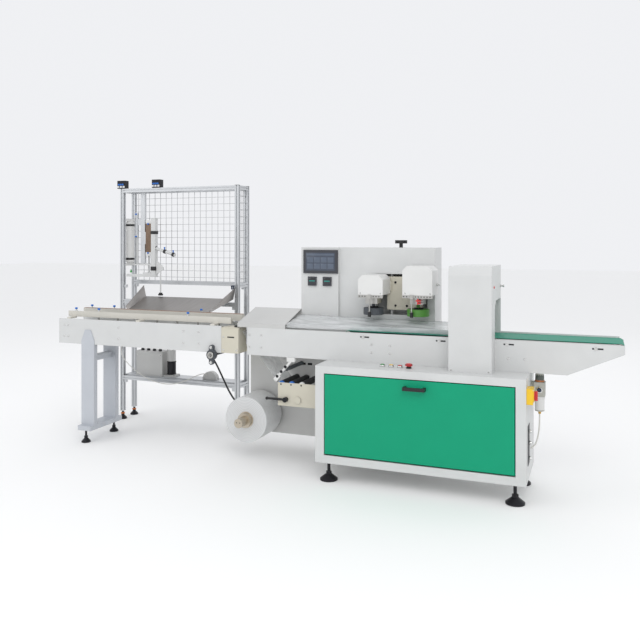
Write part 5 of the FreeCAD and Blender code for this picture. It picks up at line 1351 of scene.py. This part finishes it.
    def tray(self) -> None:
        """The tray's small handle: a bar on two legs."""
        x, y, z = self.tray_handle
        handle = Shape()
        for leg_y in (y - 18, y + 10):
            handle.block((x - 5, leg_y, z - 18), (x + 5, leg_y + 8, z + 4), 2.0)
        handle.block((x - 6, y - 22, z), (x + 6, y + 22, z + 10), 3.5)
        handle.finish("tray_handle", BLUE_BLACK)

    def build(self) -> None:
        """Make the feeder's details."""
        self.air()
        self.picker()
        self.shelf()
        self.tray()


@dataclass
class SideDetails:
    """Trim of the main switch and the air filter on the right side of the base."""

    switch_x: float = 1357.0
    switch_y: float = -415.0
    switch_z: float = 563.5
    filter_x: float = 1370.0
    filter_y: float = -190.0
    gauge_y: float = -219.0
    gauge_z: float = 556.0

    def build(self) -> None:
        """Make the trim."""
        plate = [(32, -0.5), (32, 2), (30, 4), (25, 4)]
        place = (self.switch_x, self.switch_y, self.switch_z)
        Shape().turned(plate, place, Axis.X, 48).finish("switch_escutcheon", YELLOW_ABS)
        x, y, z = place
        corners = [(x, y + side, z + rise) for side in (-33, 33) for rise in (-33, 33)]
        add_screws(Shape(), corners, Axis.X, 3.6, -2.2).finish("switch_box_screws", CHROME)
        centre = (self.filter_x, self.filter_y, 0.0)
        ring = Shape().turned([(22.5, 597), (25, 598), (25, 604), (22.5, 605)], centre, Axis.Z, 48)
        ring.finish("filter_lock_ring", ORANGE_ABS)
        knob = Shape().turned([(22.4, 606), (23.4, 608), (22.6, 634), (19, 640.6)], centre, Axis.Z, 12)
        knob.finish("filter_knob_cap", FILTER_KNOB)
        bowl = [(8, 437), (20, 438), (25.4, 448), (25.6, 504), (27.5, 506), (27.5, 519)]
        Shape().turned(bowl, centre, Axis.Z, 48).finish("filter_bowl_guard", WHITE_ABS)
        drain = [(5.5, 424), (7.4, 424.5), (7.4, 431), (9, 432), (9, 439)]
        Shape().turned(drain, centre, Axis.Z, 24).finish("filter_drain_fitting", BRASS)
        gauge = (self.filter_x, self.gauge_y, self.gauge_z)
        rim = Shape().turned([(3, -5), (15, -5), (17, -3), (17, 0.5)], gauge, Axis.Y, 40)
        rim.finish("filter_gauge_rim", CHROME)
        face = Shape().turned([(2, -5.6), (12, -5.4), (12.6, -4.4)], gauge, Axis.Y, 40)
        face.finish("filter_gauge_face", BLUE_BLACK)


@dataclass
class Hose:
    """One free cord: its route, its size and where it goes."""

    node: str
    name: str
    diameter: float
    length: float
    stiffness: str
    finish: Finish
    route: tuple[Point, ...]

    def build(self) -> None:
        """Lay the cord along its route as one smooth spline."""
        curve = bpy.data.curves.new(self.name, "CURVE")
        curve.dimensions = "3D"
        curve.bevel_depth = self.diameter / 2 * MM
        curve.bevel_resolution = 6
        curve.resolution_u = 12
        curve.use_fill_caps = True
        spline = curve.splines.new("NURBS")
        spline.points.add(len(self.route) - 1)
        for point, place in zip(spline.points, self.route):
            point.co = (*(value * MM for value in place), 1.0)
        spline.order_u = 3
        spline.use_endpoint_u = True
        curve.materials.append(self.finish.material())
        piece = bpy.data.objects.new(self.name, curve)
        bpy.context.scene.collection.objects.link(piece)
        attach(piece, Body.ROOT.value)
        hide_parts(self.node)
        LOG.info("%s: %d route points", self.name, len(self.route))


HOSES = (
    Hose(
        "infeed_power_cable", "power_cable", 12.0, 1079.0, "medium", RUBBER,
        (
            (-1292, 403, 540), (-1240, 390, 566), (-1150, 360, 590), (-1020, 300, 596), (-900, 200, 584),
            (-810, 150, 520), (-735, 118, 425), (-665, 92, 325), (-590, 74, 250), (-520, 66, 214),
            (-450, 64, 206),
        ),
    ),
    Hose(
        "air_hose", "feeder_air_hose", 6.0, 882.0, "medium", HOSE,
        (
            (-1710, 317, 560), (-1706, 299, 520), (-1682, 293, 470), (-1632, 291, 424), (-1570, 290, 382),
            (-1503, 289, 345), (-1430, 288, 318), (-1352, 288, 301), (-1272, 289, 297), (-1194, 291, 310),
            (-1122, 296, 338), (-1062, 308, 368), (-1022, 335, 384), (-1010, 365, 378), (-1008, 383, 366),
        ),
    ),
    Hose(
        "drain_hose", "filter_drain_hose", 8.0, 201.0, "medium", HOSE,
        (
            (1370, -190, 424), (1370, -191, 376), (1366, -194, 322), (1356, -198, 276), (1345, -200, 252),
            (1325, -200, 236),
        ),
    ),
)


# ---------------------------------------------------------------- studio


@dataclass
class Studio:
    """A pale floor, soft light and the camera."""

    camera_place: Point = (1.665, -4.194, 1.354)
    camera_turn: float = 21.3
    lens: float = 40.2
    shift_y: float = -0.1245
    floor_colour: str = "#fbfbfa"

    def floor(self) -> None:
        """A plain pale floor, which isn't part of the object."""
        plane = bmesh.new()
        bmesh.ops.create_grid(plane, x_segments=1, y_segments=1, size=30.0)
        data = bpy.data.meshes.new("studio_floor")
        plane.to_mesh(data)
        plane.free()
        paint = Finish("studio_floor_paint", self.floor_colour, 0.9, grain_depth=0.0, patch_depth=0.0)
        data.materials.append(paint.material())
        piece = bpy.data.objects.new("studio_floor", data)
        piece.location.z = -0.001
        bpy.context.scene.collection.objects.link(piece)

    def light(self, name: str, place: Point, aim: Point, size: float, power: float) -> None:
        """Add one soft lamp.

        Args:
            name: the lamp's name.
            place: where it hangs, in metres.
            aim: what it points at, in metres.
            size: its width and height, in metres.
            power: its power, in watts.
        """
        data = bpy.data.lights.new(name, "AREA")
        data.shape = "SQUARE"
        data.size = size
        data.energy = power
        lamp = bpy.data.objects.new(name, data)
        lamp.location = place
        lamp.rotation_euler = (Vector(aim) - Vector(place)).to_track_quat("-Z", "Y").to_euler()
        bpy.context.scene.collection.objects.link(lamp)

    def build(self) -> None:
        """Make the floor, the light and the camera."""
        self.floor()
        self.light("key_light", (2.5, -4.5, 4.6), (0.1, 0.0, 0.7), 3.0, 80.0)
        self.light("fill_light", (-4.0, -3.5, 3.2), (-0.5, 0.0, 0.8), 3.5, 26.0)
        self.light("back_light", (-1.0, 4.5, 4.0), (0.0, 0.2, 0.9), 3.0, 24.0)
        world = bpy.data.worlds.new("studio_air")
        world.use_nodes = True
        sky = world.node_tree.nodes["Background"]
        sky.inputs["Color"].default_value = linear("#fbfcff")
        sky.inputs["Strength"].default_value = 0.9
        bpy.context.scene.world = world
        bpy.context.scene.view_settings.view_transform = "Standard"
        data = bpy.data.cameras.new("camera")
        data.lens = self.lens
        data.shift_y = self.shift_y
        camera = bpy.data.objects.new("camera", data)
        camera.location = self.camera_place
        camera.rotation_euler = (math.radians(90), 0.0, math.radians(self.camera_turn))
        bpy.context.scene.collection.objects.link(camera)
        bpy.context.scene.camera = camera


def dress_nodes() -> None:
    """Give every solid that shows its finish."""
    for name, finish in NODE_FINISHES.items():
        data = frame["nodes"][name].data
        data.materials.clear()
        data.materials.append(finish.material())
        LOG.info("%s: %s", name, finish.name)


def main() -> None:
    """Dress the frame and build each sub-assembly."""
    logging.basicConfig(level=logging.INFO, format="%(message)s")
    Studio().build()
    for hose in HOSES:
        hose.build()
    dress_nodes()
    for group in (
        LaneFasteners(), LaneBelts(), BaseDetails(), ControlColumn(), HeadCarriage(), EndSealer(), FilmReel(),
        FilmPath(), InfeedDetails(), GuardDetails(), FeederDetails(), SideDetails(),
    ):
        LOG.info("-- %s", type(group).__name__)
        group.build()


if __name__ == "__main__":
    main()
